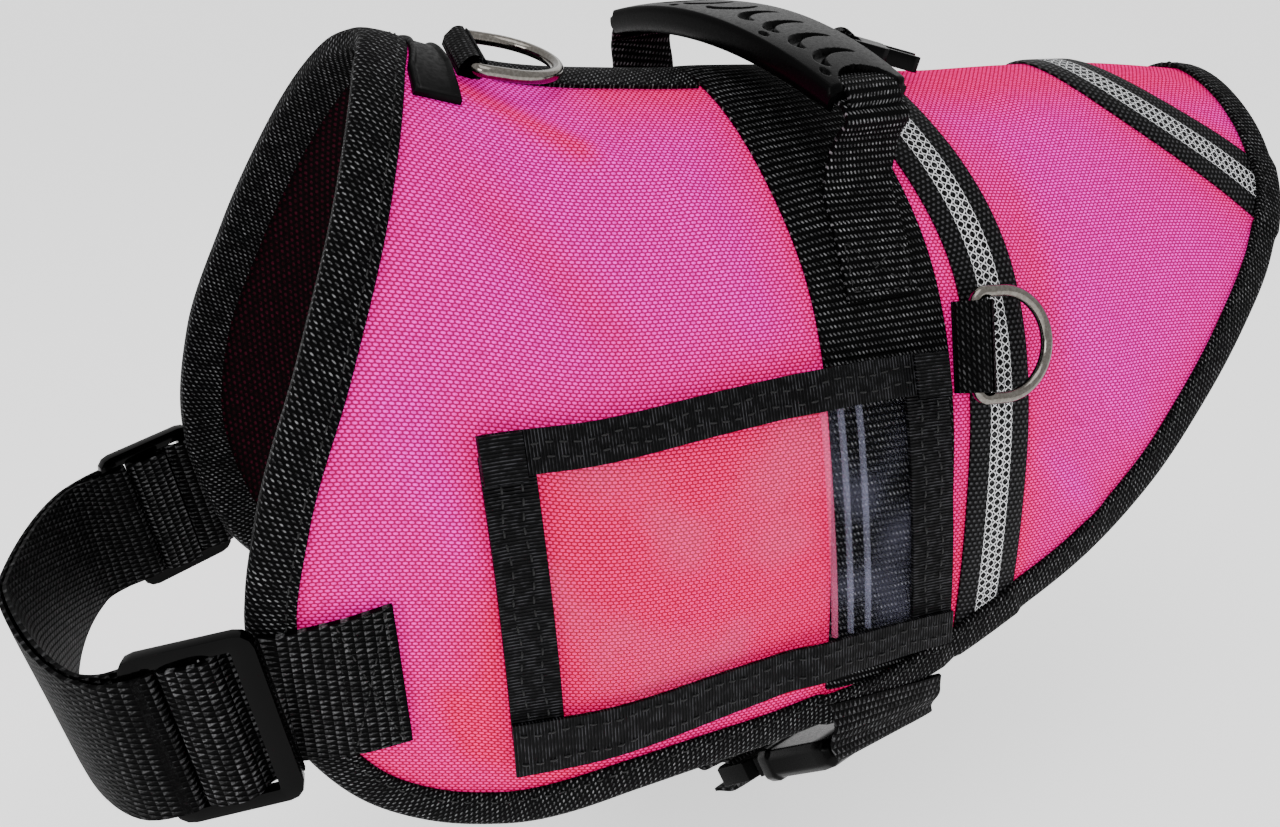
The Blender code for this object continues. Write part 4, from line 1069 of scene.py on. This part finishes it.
def build_pocket(paints):
    """Clear window in four sewn ribbon strips; the top and bottom strips lap over the side ones."""
    length, depth = POCKET_SIZE
    half = length / 2
    top = POCKET_TOP - depth / 2
    bottom = depth / 2 - POCKET_BOTTOM
    side = half - POCKET_FRAME
    margin = POCKET_FRAME / 2
    window = strip(margin - half, half - margin, top - margin, bottom + margin)
    pane = pocket_layer("pocket_window_pane", window, GAP, WINDOW_SHEET, paints["clear"], step=3.0)
    on_body(pane, "clear_sheet", "pocket_window")
    low = GAP + WINDOW_SHEET + GAP
    over = low + FRAME_TAPE + LAP_GAP
    high, deep = top - FRAME_OVERLAP, bottom + FRAME_OVERLAP
    lowest = (-half, bottom), (half, bottom), (half, depth / 2 - POCKET_TAPER), (-half, depth / 2)
    frames = {}
    for word, corners, base, wide, long in (
            ("front", strip(-half, -side, high, deep), low, POCKET_FRAME, deep - high),
            ("rear", strip(side, half, high, deep), low, POCKET_FRAME, deep - high),
            ("top", strip(-half, half, -depth / 2, top), over, top + depth / 2, length),
            ("bottom", lowest, over, depth / 2 - POCKET_TAPER / 2 - bottom, length)):
        turned = base == low
        thick = FRAME_TAPE if turned else FRAME_TAPE - LAP_GAP
        frames[word] = pocket_layer("pocket_" + word + "_strip", corners, base, thick,
                                    paints["grosgrain"], turned)
        on_body(frames[word], "grosgrain", "pocket_frame_" + word)
    patch = POCKET_FRAME * PATCH_SHARE
    for word, a in (("neck", -half), ("tail", half - patch)):
        fold = pocket_layer("pocket_fold_" + word, strip(a, a + patch, 0.2 - depth / 2, top + 1.0),
                            over + FRAME_TAPE, 0.7, paints["grosgrain"], True)
        on_body(fold, "grosgrain")
    rows = []
    for a0, b0, a1, b1 in (
            (1 - half, 3.6 - depth / 2, half - 1, 3.2 - depth / 2),
            (1 - half, top - 3.4, half - 1, top - 3.0),
            (1 - half, bottom + 3.2, half - 1, bottom + 3.0),
            (1 - half, depth / 2 - 3.6, half - 1, depth / 2 - POCKET_TAPER - 3.2),
            (3.8 - half, top - 2, 3.8 - half, bottom + 2), (8.8 - half, top - 2, 8.8 - half, bottom + 2),
            (half - 4.0, top - 2, half - 4.0, bottom + 2), (half - 9.0, top - 2, half - 9.0, bottom + 2)):
        upright = a0 == a1
        share = np.linspace(0, 1, 90)
        wave = SEAM_WAVE[0] * np.sin(share * math.hypot(a1 - a0, b1 - b0) / SEAM_WAVE[1])
        y, v = pocket_point(a0 + (a1 - a0) * share + (wave if upright else 0),
                            b0 + (b1 - b0) * share + (0 if upright else wave))
        base = low + FRAME_TAPE + 0.05 if upright else over + FRAME_TAPE - 0.05
        rows.append(seam(y, v, pocket_height(base)(y, v)))
    on_body(stitches("pocket_stitches", rows, paints["thread"], POCKET_STITCH), "grosgrain")
    wide, tall = ZIP_RIDGE
    step = pocket_height(low)
    for index, a in enumerate(ZIP_RIDGES):
        _, flat = pocket_grid(strip(a - wide / 2, a + wide / 2, top + GAP, bottom - GAP), 0.3)
        round_off = np.sqrt(np.clip(1 - np.linspace(-1, 1, flat.shape[0])**2, 0, 1))[:, None]
        crown = step(flat[..., 0], 0) + 0.15 + (tall - 0.15) * round_off
        ridge = layer("pocket_zip_rib_" + str(index + 1), flat, step, crown,
                      paints["rib" if index else "pink_rib"])
        on_body(ridge, "clear_sheet", "pocket_zip_ridge_" + str(index + 1))


def wire_ring(centre, across, out, normal):
    """Section rings of a D ring: a straight bar along across, the bow reaching along out."""
    radius = (RING_INSIDE + RING_WIRE) / 2
    corner = 3.0
    side = radius - corner
    bend = np.radians(range(12, 97, 12))
    path = [(x, 0.0) for x in np.linspace(-side, side, 12)]
    path += [(side + corner * math.sin(t), corner - corner * math.cos(t)) for t in bend]
    path += [(radius * math.cos(t), RING_RISE + radius * math.sin(t)) for t in np.radians(range(0, 181, 5))]
    path += [(-side - corner * math.sin(t), corner - corner * math.cos(t)) for t in bend[::-1]]
    path = np.array(path)
    turns = np.linspace(0, 2 * math.pi, 19)[:-1, None]
    rings = []
    for i, (a, b) in enumerate(path):
        tangent = unit(unit(path[(i + 1) % len(path)] - path[i]) + unit(path[i] - path[i - 1]))
        shift = np.cos(turns) * RING_WIRE / 2
        rings.append(centre + across * (a + tangent[1] * shift) + out * (b - tangent[0] * shift)
                     + normal * np.sin(turns) * RING_WIRE / 2)
    return rings


def fold_sections(bar, axes, hold, wall, run, width, ends=None):
    """Webbing folded round a bar: the run is how far both layers reach back and the slack in front."""
    out, across, normal = axes
    reach, slack = run
    outer = hold + wall
    low, high = ends if ends else (-hold, GAP - hold)
    turns = np.radians(range(15, 180, 15))
    wraps = np.linspace(0, LOOP_WRAP, 5)
    line = [(-reach, low), (0.0, -hold), (slack, -hold)]
    line += [(slack + hold * math.sin(t), -hold * math.cos(t)) for t in turns]
    line += [(slack, hold)] + [(-hold * math.sin(t), hold * math.cos(t)) for t in wraps]
    line += [(-reach, high), (-reach, high + wall)]
    line += [(-outer * math.sin(t), outer * math.cos(t)) for t in reversed(wraps)] + [(slack, outer)]
    line += [(slack + outer * math.sin(t), outer * math.cos(t)) for t in reversed(turns)]
    line += [(slack, -outer), (0.0, -outer), (-reach, low - wall)]
    profile = np.array(line)
    sides = np.sin(np.linspace(-1, 1, 13) * math.pi / 2) * width / 2
    rings = [bar + across * side + profile[:, :1] * out + profile[:, 1:] * normal for side in sides]
    return rings, np.stack(np.broadcast_arrays(runs(profile)[None], sides[:, None]), -1)


def build_ring_set(name, at, yaw, tilt, run, ground, paints):
    """A ring on its own body, and its sewn loop. The ring keeps its solid's place."""
    y, v = np.array([[float(x)] for x in at])
    hold = RING_WIRE / 2 + GAP
    bar = place(y, v, ground + GAP + LOOP_WALL + hold, creased=False)[0]
    normal = facing_at(y, v)[0]
    ahead = (place(y + 2 * math.cos(yaw), v + 2 * math.sin(yaw), 0, False) - place(y, v, 0, False))[0]
    ahead = unit(ahead - normal * np.dot(ahead, normal))
    across = np.cross(normal, ahead)
    bow = ahead * math.cos(tilt) + normal * math.sin(tilt)
    rise = normal * math.cos(tilt) - ahead * math.sin(tilt)
    ring = swept(name + "_ring_wire", wire_ring(bar, across, bow, rise), paints["nickel"], True)
    on_body(ring, "nickel", name + "_ring", body=name + "_ring")
    rings, cloth = fold_sections(bar, (ahead, across, normal), hold, LOOP_WALL, run, LOOP_WIDTH)
    loop = swept(name + "_loop_webbing", rings, paints["loop"], cloth=cloth, sharp=50)
    on_body(loop, "webbing", name + "_loop")


def adjuster_axes(side):
    """Centre of an adjuster, and its directions: along the strap, across it and out of its face."""
    flip = (side, 1, 1)
    along = unit(np.array(ADJUSTER_ALONG) * flip)
    across = np.array(ADJUSTER_ACROSS) * flip
    across = unit(across - along * np.dot(across, along))
    face = np.cross(across, along)
    centre = np.array(ADJUSTER_CENTRE) * flip + np.array(CHEST_SKEW) * side
    return centre, along, across, face if face[0] * side > 0 else -face


def build_chest_tab(side, word, paints):
    """Webbing sewn to the front of the panel, over the binding and round the centre bar."""
    centre, along, across, face = adjuster_axes(side)
    offsets = np.sin(np.linspace(-1, 1, 15) * math.pi / 2) / 2 * (TAB_WIDTH - 0.6)

    def on_panel(step, off, lift=0.0):
        """Flat place and height of a point of the sewn end, by its step from the root."""
        y = TAB_ROOT[0] - step + off * TAB_LEAN
        v = (TAB_ROOT[1] + step * TAB_SLOPE + off) * side
        rise = np.clip(step / TAB_RISE_RUN, 0, 1) * (BINDING_WALL + BINDING_CLEAR + GAP)
        return y, v, GAP + lift + rise

    sections = [np.vstack([place(*on_panel(step, offsets, WEBBING)), place(*on_panel(step, offsets))[::-1]])
                for step in np.linspace(0, TAB_SEWN, 15)]
    near, far = ADJUSTER_CENTRE_BAR / 2, ADJUSTER_LENGTH / 2 - ADJUSTER_BAR
    clear = ADJUSTER_THICK / 2 + GAP + WEBBING / 2
    slot = (near + far) / 2
    path = smooth_path(((-far - ADJUSTER_BAR, -clear - 0.6), (-far + 0.3, -clear - 0.1), (-slot - 0.3, -1.2),
                        (-slot + 1.0, 1.2), (-near - 0.2, clear), (near + 0.2, clear), (slot + 0.2, 1.2),
                        (slot + 0.75, -1.0), (slot, -clear - 0.8), (near, -clear - 1.9),
                        (-near - 1.2, -clear - 2.3)), 0.9)
    for (a, h), (step_a, step_h) in zip(path, unit(np.gradient(path, axis=0))):
        row = centre + along * a + face * h + across * offsets[:, None]
        out = (face * step_a - along * step_h) * WEBBING / 2
        sections.append(np.vstack([row + out, row[::-1] - out]))
    travel = runs(np.array([s[:len(offsets)].mean(axis=0) for s in sections]))
    tab = swept("chest_tab_webbing_" + word, sections, paints["tab"],
                cloth=run_grid(travel, np.concatenate([offsets, offsets[::-1]])), sharp=60)
    on_body(tab, "webbing", "chest_tab_" + word)
    rows = box_seams(*TAB_BOX, offsets[-2], 30, lambda step, off: on_panel(step, off, WEBBING + 0.05))
    thread = stitches("chest_tab_stitches_" + word, rows, paints["thread"], BOX_STITCH)
    on_body(thread, "webbing")


def build_chest_strap(paints):
    """Two layers of webbing round the chest, folded over the front bar of each adjuster."""
    centre, along, across, _ = adjuster_axes(1)
    start = centre - CHEST_SKEW + along * (ADJUSTER_LENGTH / 2 - ADJUSTER_BAR / 2)
    first = start + along * CHEST_LEAD
    depth = first[1] - CHEST_FRONT_Y
    half = [(first[0] * max(math.cos(t), 0) ** CHEST_POINTED, first[1] - depth * math.sin(t) ** 1.1,
             first[2] + (CHEST_FRONT_Z - first[2]) * math.sin(t))
            for t in np.linspace(0.1, 1, 11) * math.pi / 2]
    half = np.vstack([[start, first], half])
    whole = smooth_path(np.vstack([half, (half * (-1, 1, 1))[::-1][1:]]), 7.0)
    whole = smooth_path(whole, 1.8)
    share = whole[:, :1] / start[0]
    whole = whole + share * CHEST_SKEW
    tangents = unit(np.gradient(whole, axis=0))
    lean = across[1] + (CHEST_LEAN - across[1]) * (1 - np.abs(share).clip(0, 1))**2
    down = np.concatenate([share * across[0], lean, -np.ones_like(share)], 1)
    down = unit(down - tangents * np.sum(down * tangents, axis=1, keepdims=True))
    run = runs(whole)
    fade = np.clip(np.minimum(run, run[-1] - run) / CHEST_FADE, 0, 1)[:, None]
    held = across * np.concatenate([np.sign(share), np.ones_like(share), np.ones_like(share)], 1)
    down = unit(held * (1 - fade) + down * fade)
    normals = unit(np.cross(tangents, down))
    if normals[len(normals) // 2][1] > 0:
        normals = -normals
    wide = ADJUSTER_THICK / 2 + GAP + WEBBING / 2 + FOLD_EASE
    close = (GAP + WEBBING) / 2
    apart = wide + (close - wide) * ease(fade)
    turns = np.radians(range(15, 180, 15))
    reach = ADJUSTER_BAR / 2 + GAP + WEBBING / 2 + FOLD_EASE

    def fold(end, tangent, normal):
        return [end + normal * wide * math.copysign(abs(math.cos(t))**0.5, math.cos(t))
                + tangent * reach * math.sin(t)**0.5 for t in turns]

    points = np.vstack([whole + normals * apart, fold(whole[-1], tangents[-1], normals[-1]),
                        (whole - normals * apart)[::-1], fold(whole[0], -tangents[0], normals[0])[::-1]])
    count = len(turns)
    side = np.vstack([down, np.repeat(down[-1:], count, 0), down[::-1], np.repeat(down[:1], count, 0)])
    around = np.roll(points, -1, axis=0) - np.roll(points, 1, axis=0)
    item = strap("chest_strap_webbing", points, side, np.cross(side, around), TAB_WIDTH - 0.8, WEBBING,
                 paints["ribbed"], closed=True)
    on_body(item, "webbing", "chest_strap")


def buckle_axes():
    along = unit(np.array(BUCKLE_ALONG))
    across = np.array([0.0, 1.0, BELT_TWIST])
    across = unit(across - along * np.dot(across, along))
    face = np.cross(along, across)
    return np.array(BUCKLE_START), along, across, face if face[2] < 0 else -face


def build_belt(paints):
    """Belly belt: both ends are sewn over the binding at the hem below the girth band."""
    height = BINDING_CLEAR + BINDING_WALL + GAP + WEBBING / 2 + BELT_SLACK
    start, along, across, face = buckle_axes()
    end = FEMALE_LENGTH + COLLAR_LENGTH + GAP + MALE_ARMS + MALE_BASE
    half = TAB_WIDTH / 2
    bar = (MALE_BASE - MALE_SLOT) / 2
    over = MALE_THICK / 2 + GAP + WEBBING / 2
    left = [start - along * 0.9]
    right = [start + along * (end + a) - face * h for a, h in (
        (9.0, over - 0.6), (2.0, over), (-bar - 0.6, over), (-bar - 2.5, over - 1.5),
        (-bar - MALE_SLOT / 2 - 0.2, 0.0), (-bar - 2.5, 1.5 - over), (-bar - 0.6, -over), (8.0, -over))]
    for side, word, root_y, line in ((1, "left", GIRTH_LINE[-1][0], BELT_LEFT),
                                     (-1, "right", GIRTH_LINE[0][0], BELT_RIGHT)):
        line = np.vstack([line, left if side > 0 else right])
        v = np.array([BELT_EDGE_V, BELT_EDGE_V + 4.0, BELT_EDGE_V + 8.0]) * side
        y = np.full(3, root_y) + np.array([0, 0.8, 1.8]) * (side > 0)
        points = smooth_path(np.vstack([place(y, v, height, False), line]), 1.2)
        tangents = unit(np.gradient(points, axis=0))
        run = runs(points)
        share = np.clip(run / (run[-1] - (0 if side > 0 else end)), 0, 1)[:, None]
        ends = [place(np.array([root_y + s * half]), v[:1], height, False)[0] for s in (1, -1)]
        width = unit(unit(ends[0] - ends[1]) * (1 - share) + across * share)
        belt = strap("belly_belt_webbing_" + word, points, width, np.cross(width, tangents),
                     TAB_WIDTH - 0.6, WEBBING, paints["tab"])
        on_body(belt, "webbing", "belly_belt_" + word)


def grip_frame():
    """Directions of the handle: along it, across it, and up."""
    along = np.array([math.cos(GRIP_YAW), math.sin(GRIP_YAW), 0.0])
    return along, np.array([-along[1], along[0], 0.0]), np.array([0.0, 0.0, 1.0])


def grip_line(run):
    """Middle line of the grip at a distance along it, its outward direction and half its thickness there."""
    along, _, up = grip_frame()
    middle = np.array(GRIP_CENTRE) + along * run + up * (GRIP_SLOPE * run - GRIP_ARCH * run**2)
    tall = (GRIP_THICK + (GRIP_END_THICK - GRIP_THICK) * (run / GRIP_HALF)**2) / 2
    return middle, unit(up - along * (GRIP_SLOPE - 2 * GRIP_ARCH * run)), tall


def crescent(run, b, at):
    """Depth share of a crescent groove: its back towards the handle's middle, thick on the neck side."""
    long, wide, shift_long, shift_wide = CRESCENT_SIZE
    r = math.copysign(1, at) * (run - at)
    outer = np.hypot(r / long, b / wide)
    inner = np.hypot((r - shift_long) / long, (b - shift_wide) / wide)
    mask = np.clip((1 - outer) / 0.14, 0, 1) * np.clip((inner - 1) / 0.14, 0, 1)
    return mask * mask * (3 - 2 * mask)


def grip_relief(run, b):
    """Depth cut into the grip's top: crescents and small dimples."""
    depth = np.zeros(np.shape(b))
    for side in (-1, 1):
        for at in GRIP_CRESCENTS:
            depth = np.maximum(depth, crescent(run, b - CRESCENT_OFF, at * side) * 1.5)
        for at, off in GRIP_DIMPLES:
            far = np.hypot((run - at * side) / 1.7, (b - off) / 1.1)
            depth = np.maximum(depth, np.clip((1 - far) / 0.3, 0, 1) * 0.9)
    return depth


def build_grip(paints):
    """Moulded grip: an arched bar with grooves on top and a channel under it for the webbing."""
    _, across, _ = grip_frame()
    slot = CHANNEL_WIDTH / 2
    sections = []
    for share in np.linspace(-1, 1, 300):
        run = share * GRIP_HALF
        middle, normal, tall = grip_line(run)
        wide = (GRIP_WIDTH + (GRIP_END_WIDTH - GRIP_WIDTH) * share**2) / 2
        end = np.clip((abs(share) - 0.965) / 0.035, 0, 1)
        wide_top = wide - 1.6 * end**2
        roof = CHANNEL_DEPTH - tall
        b = np.linspace(wide_top - 1.0, 1.0 - wide_top, 90)
        crown = tall - 0.9 * np.abs(b / wide_top)**3 - 1.1 * end**2
        into = np.clip((abs(run) - (GRIP_HALF - MOUTH_LENGTH)) / MOUTH_LENGTH, 0, 1)
        mouth_half = MOUTH_HALF * math.sqrt(1 - (1 - into)**2)
        dip = ease((mouth_half - np.abs(b)) / 1.2) if into > 0 else 0 * b
        top = (crown - grip_relief(run, b)) * (1 - dip) + (roof + 0.45) * dip
        line = [(wide - 0.1, -tall + 2.2), (wide, -tall + 3.4), (wide - 0.15, tall - 2.6),
                (wide_top - 0.25, min(tall - 1.6, crown[0] + 0.1) - 0.5 * end),
                (wide_top - 0.6, crown[0] - 0.15)]
        line += list(zip(b, top)) + [(-x, h) for x, h in reversed(line)]
        line += [(1.2 - wide, -tall + 0.3), (2.0 - wide, -tall), (-slot - 0.3, -tall), (-slot, -tall + 0.4),
                 (-slot, roof), (slot, roof), (slot, -tall + 0.4), (slot + 0.3, -tall), (wide - 2.0, -tall),
                 (wide - 1.2, -tall + 0.3)]
        sections.append([middle + across * x + normal * h for x, h in line])
    grip = swept("handle_grip_moulding", sections, paints["grip"], sharp=50)
    on_body(grip, "plastic", "handle_grip")
    return grip


def build_handle_webbing(paints, grip, clip_loop):
    """Webbing through the grip's channel, down to the girth band and along it to a sewn end."""
    _, across, up = grip_frame()
    ends, rows = [], []
    for side, foot_y in zip((1, -1), HANDLE_WEB_Y):
        v = np.linspace(HANDLE_WEB_END, HANDLE_WEB_LAND, 5) * side
        landed = place(float(foot_y), v, np.array([0, 0, 0, 0, 0.6]) + GAP * 2 + WEBBING * 1.5)
        mouth = grip_line(side * (GRIP_HALF + 1.5))[0]
        mouth = mouth - up * (GRIP_END_THICK / 2 - CHANNEL_DEPTH + GAP + WEBBING / 2)
        top = landed[-1]
        out = np.array([side, 0.15, 0.0])
        ends.append([*landed] + [top + (mouth - top) * share + out * push + up * lift
                                 for share, push, lift in HANDLE_BENDS] + [mouth])
        rows += box_seams(HANDLE_WEB_END - 1.8, HANDLE_WEB_END - 14, HANDLE_WEB_WIDTH / 2 - 1.6, 24,
                          lambda run, off: (foot_y + off, run * side, GAP * 2 + WEBBING * 2 + 0.05))
    middle = []
    for run in np.linspace(GRIP_HALF - 5, 5 - GRIP_HALF, 9):
        point, normal, tall = grip_line(run)
        middle.append(point - normal * (tall - CHANNEL_DEPTH + GAP + WEBBING / 2))
    points = np.array(ends[0] + middle + ends[1][::-1])
    turn = np.concatenate([np.zeros(5), np.linspace(0.3, 1, 4), np.ones(len(middle)),
                           np.linspace(1, 0.3, 4), np.zeros(5)])
    before = runs(points)
    points = smooth_path(points, 1.0)
    turn = np.interp(np.linspace(0, before[-1], len(points)), before, turn)[:, None]
    tangents = unit(np.gradient(points, axis=0))
    side = unit(across * turn + np.array([0.0, 1.0, 0.0]) * (1 - turn))
    side = unit(side - tangents * np.sum(side * tangents, axis=1, keepdims=True))
    item = strap("handle_carry_webbing", points, side, np.cross(side, tangents), HANDLE_WEB_WIDTH, WEBBING,
                 paints["handle"], ribs=13)
    on_body(item, "webbing", "handle_webbing")
    thread = stitches("handle_foot_stitches", rows, paints["thread"], BOX_STITCH)
    on_body(thread, "webbing")
    for sign, word in ((1, "left"), (-1, "right")):
        bulge = []
        for run, lift in MOUTH_BULGE:
            point, normal, _ = grip_line(sign * (GRIP_HALF + run))
            bulge.append(point + normal * (CHANNEL_DEPTH - GRIP_END_THICK / 2 + lift))
        bulge = smooth_path(bulge, 0.7)
        wide = np.repeat(across[None], len(bulge), 0)
        fold = strap("handle_mouth_webbing_" + word, bulge, wide, np.cross(wide, np.gradient(bulge, axis=0)),
                     2 * MOUTH_HALF - 1.6, WEBBING, paints["handle"], ribs=13)
        on_body(fold, "webbing")


def build_clip_loop(paints):
    """Webbing folded round the small buckle half's bar."""
    up = np.array([0.0, 0.0, 1.0])
    along = unit(CLIP_ALONG)
    axes = unit(along * (1, 1, 0)), unit(np.cross(up, along)), up
    rings, cloth = fold_sections(np.array(CLIP_BAR), axes, CLIP_HOLD, CLIP_LOOP_WALL, (CLIP_LOOP_REACH, 0.0),
                                 CLIP_LOOP_WIDTH, (-CLIP_LOOP_DROP, GAP - CLIP_LOOP_DROP))
    loop = swept("small_clip_loop_webbing", rings, paints["loop"], cloth=cloth, sharp=50)
    on_body(loop, "webbing", "small_clip_loop")
    return loop


def make_camera():
    azimuth, elevation = CAMERA_AZIMUTH, CAMERA_ELEVATION
    back = np.array([math.cos(elevation) * math.cos(azimuth), -math.cos(elevation) * math.sin(azimuth),
                     math.sin(elevation)])
    right = np.array([math.sin(azimuth), math.cos(azimuth), 0.0])
    up = np.cross(back, right)
    turn_c, turn_s = math.cos(CAMERA_ROLL), math.sin(CAMERA_ROLL)
    right, up = right * turn_c + up * turn_s, up * turn_c - right * turn_s
    lens = bpy.data.cameras.new("photo_camera")
    lens.lens = CAMERA_LENS
    lens.sensor_width = SENSOR
    lens.clip_start = 0.01
    camera = add_object("photo_camera", lens)
    matrix = np.eye(4)
    matrix[:3] = np.stack([right, up, back, (np.array(CAMERA_TARGET) + back * CAMERA_DISTANCE) * MM], 1)
    camera.matrix_world = Matrix(matrix.tolist())
    bpy.context.scene.camera = camera


def area_light(name, at, aim, size, power):
    data = bpy.data.lights.new(name, "AREA")
    data.shape = "RECTANGLE"
    data.size = data.size_y = size
    data.energy = power
    item = add_object(name, data)
    item.location = at
    z_axis = unit(np.array(at) - np.array(aim))
    x_axis = unit(np.cross([0, 0.001, 1], z_axis))
    facing = np.stack([x_axis, np.cross(z_axis, x_axis), z_axis], 1)
    item.rotation_euler = Matrix(facing.tolist()).to_euler()


def make_studio():
    world = bpy.data.worlds.new("studio")
    world.use_nodes = True
    background = world.node_tree.nodes["Background"]
    background.inputs["Color"].default_value = (1.0, 1.0, 1.0, 1)
    background.inputs["Strength"].default_value = WORLD_LIGHT
    bpy.context.scene.world = world
    for light in LIGHTS:
        area_light(*light)
    paint = Paint("pale_floor", 0.7, 0.3)
    paint.colour(paint.mix(paint.noise(3.0), (0.97, 0.97, 0.97, 1), (0.99, 0.99, 0.99, 1)))
    paint.put("Emission Color", (1.0, 1.0, 1.0, 1))
    paint.put("Emission Strength", FLOOR_GLOW)
    mesh = bpy.data.meshes.new("studio_floor")
    corners = [(x * FLOOR_HALF, y * FLOOR_HALF, FLOOR_Z) for x, y in ((-1, -1), (1, -1), (1, 1), (-1, 1))]
    mesh.from_pydata(corners, [], [(0, 1, 2, 3)])
    mesh.materials.append(paint.material)
    add_object("studio_floor", mesh)


def make_paints():
    return {
        "pink": pink_oxford(),
        "mesh": dark_mesh(),
        "binding": webbing("binding_webbing", 1.35, 1.5, 0.22, 0.0012, 0.6),
        "girth": webbing("girth_webbing_weave", 1.9, 1.15, 0.2, 0.001, 0.6),
        "handle": webbing("handle_webbing_ribs", 1.9, 1.15, 0.27, 0.001, 0.6),
        "ribbed": webbing("chest_webbing_weave", 2.4, 1.5, 0.06, 0.0006, wedge=True),
        "tab": webbing("tab_webbing_weave", 2.4, 1.5, 0.11, 0.0006, wedge=True),
        "loop": webbing("loop_webbing_weave", 1.3, 1.9, 0.08, 0.001),
        "grosgrain": grosgrain(),
        "reflective": reflective(),
        "thread": moulded("black_thread", 0.009, 0.4, 3000.0, 0.05, 0.2),
        "plastic": moulded("gloss_black_plastic", 0.0006, 0.12, 500.0, 0.02, 0.06),
        "satin": moulded("satin_black_plastic", 0.0008, 0.26, 900.0, 0.04, 0.06),
        "grip": moulded("grip_black_plastic", 0.0008, 0.3, 1100.0, 0.04, 0.04),
        "rubber": moulded("black_rubber_label", 0.0012, 0.45, 900.0, 0.05, 0.06),
        "nickel": nickel(),
        "clear": clear_sheet("clear_vinyl", 0.014, (0.6, 0.6, 0.9, 1), 0.9),
        "rib": clear_sheet("clear_zip_rib", 0.13, (0.36, 0.37, 0.52, 1), 0.2),
        "pink_rib": clear_sheet("pink_zip_rib", 0.26, (0.8, 0.12, 0.3, 1), 0.2),
    }


def main():
    make_camera()
    make_studio()
    paints = make_paints()
    shell = build_panels(paints)
    build_binding(paints)
    build_straps(paints)
    build_label(paints)
    build_pocket(paints)
    build_ring_set("neck", NECK_RING_AT, NECK_RING_YAW, NECK_RING_TILT, NECK_LOOP, 0.0, paints)
    build_ring_set("side", SIDE_RING_AT, 0.0, SIDE_RING_TILT, SIDE_LOOP, GAP + TAPE, paints)
    for side, word in ((1, "left"), (-1, "right")):
        item = softened("chest_slider_" + word, "chest_adjuster_" + word, 1.1, paints["plastic"])
        on_body(item, "plastic", "chest_adjuster_" + word)
        build_chest_tab(side, word, paints)
    build_chest_strap(paints)
    build_belt(paints)
    for name, node, edge in (("belly_buckle_body", "belly_buckle_female", 0.7),
                             ("belly_buckle_tongue", "belly_buckle_male", 1.2)):
        on_body(softened(name, node, edge, paints["satin"]), "plastic", node)
    build_handle_webbing(paints, build_grip(paints), build_clip_loop(paints))
    on_body(softened("small_clip_moulding", "small_clip", 0.8, paints["satin"]), "plastic", "small_clip",
            body="small_clip")


main()
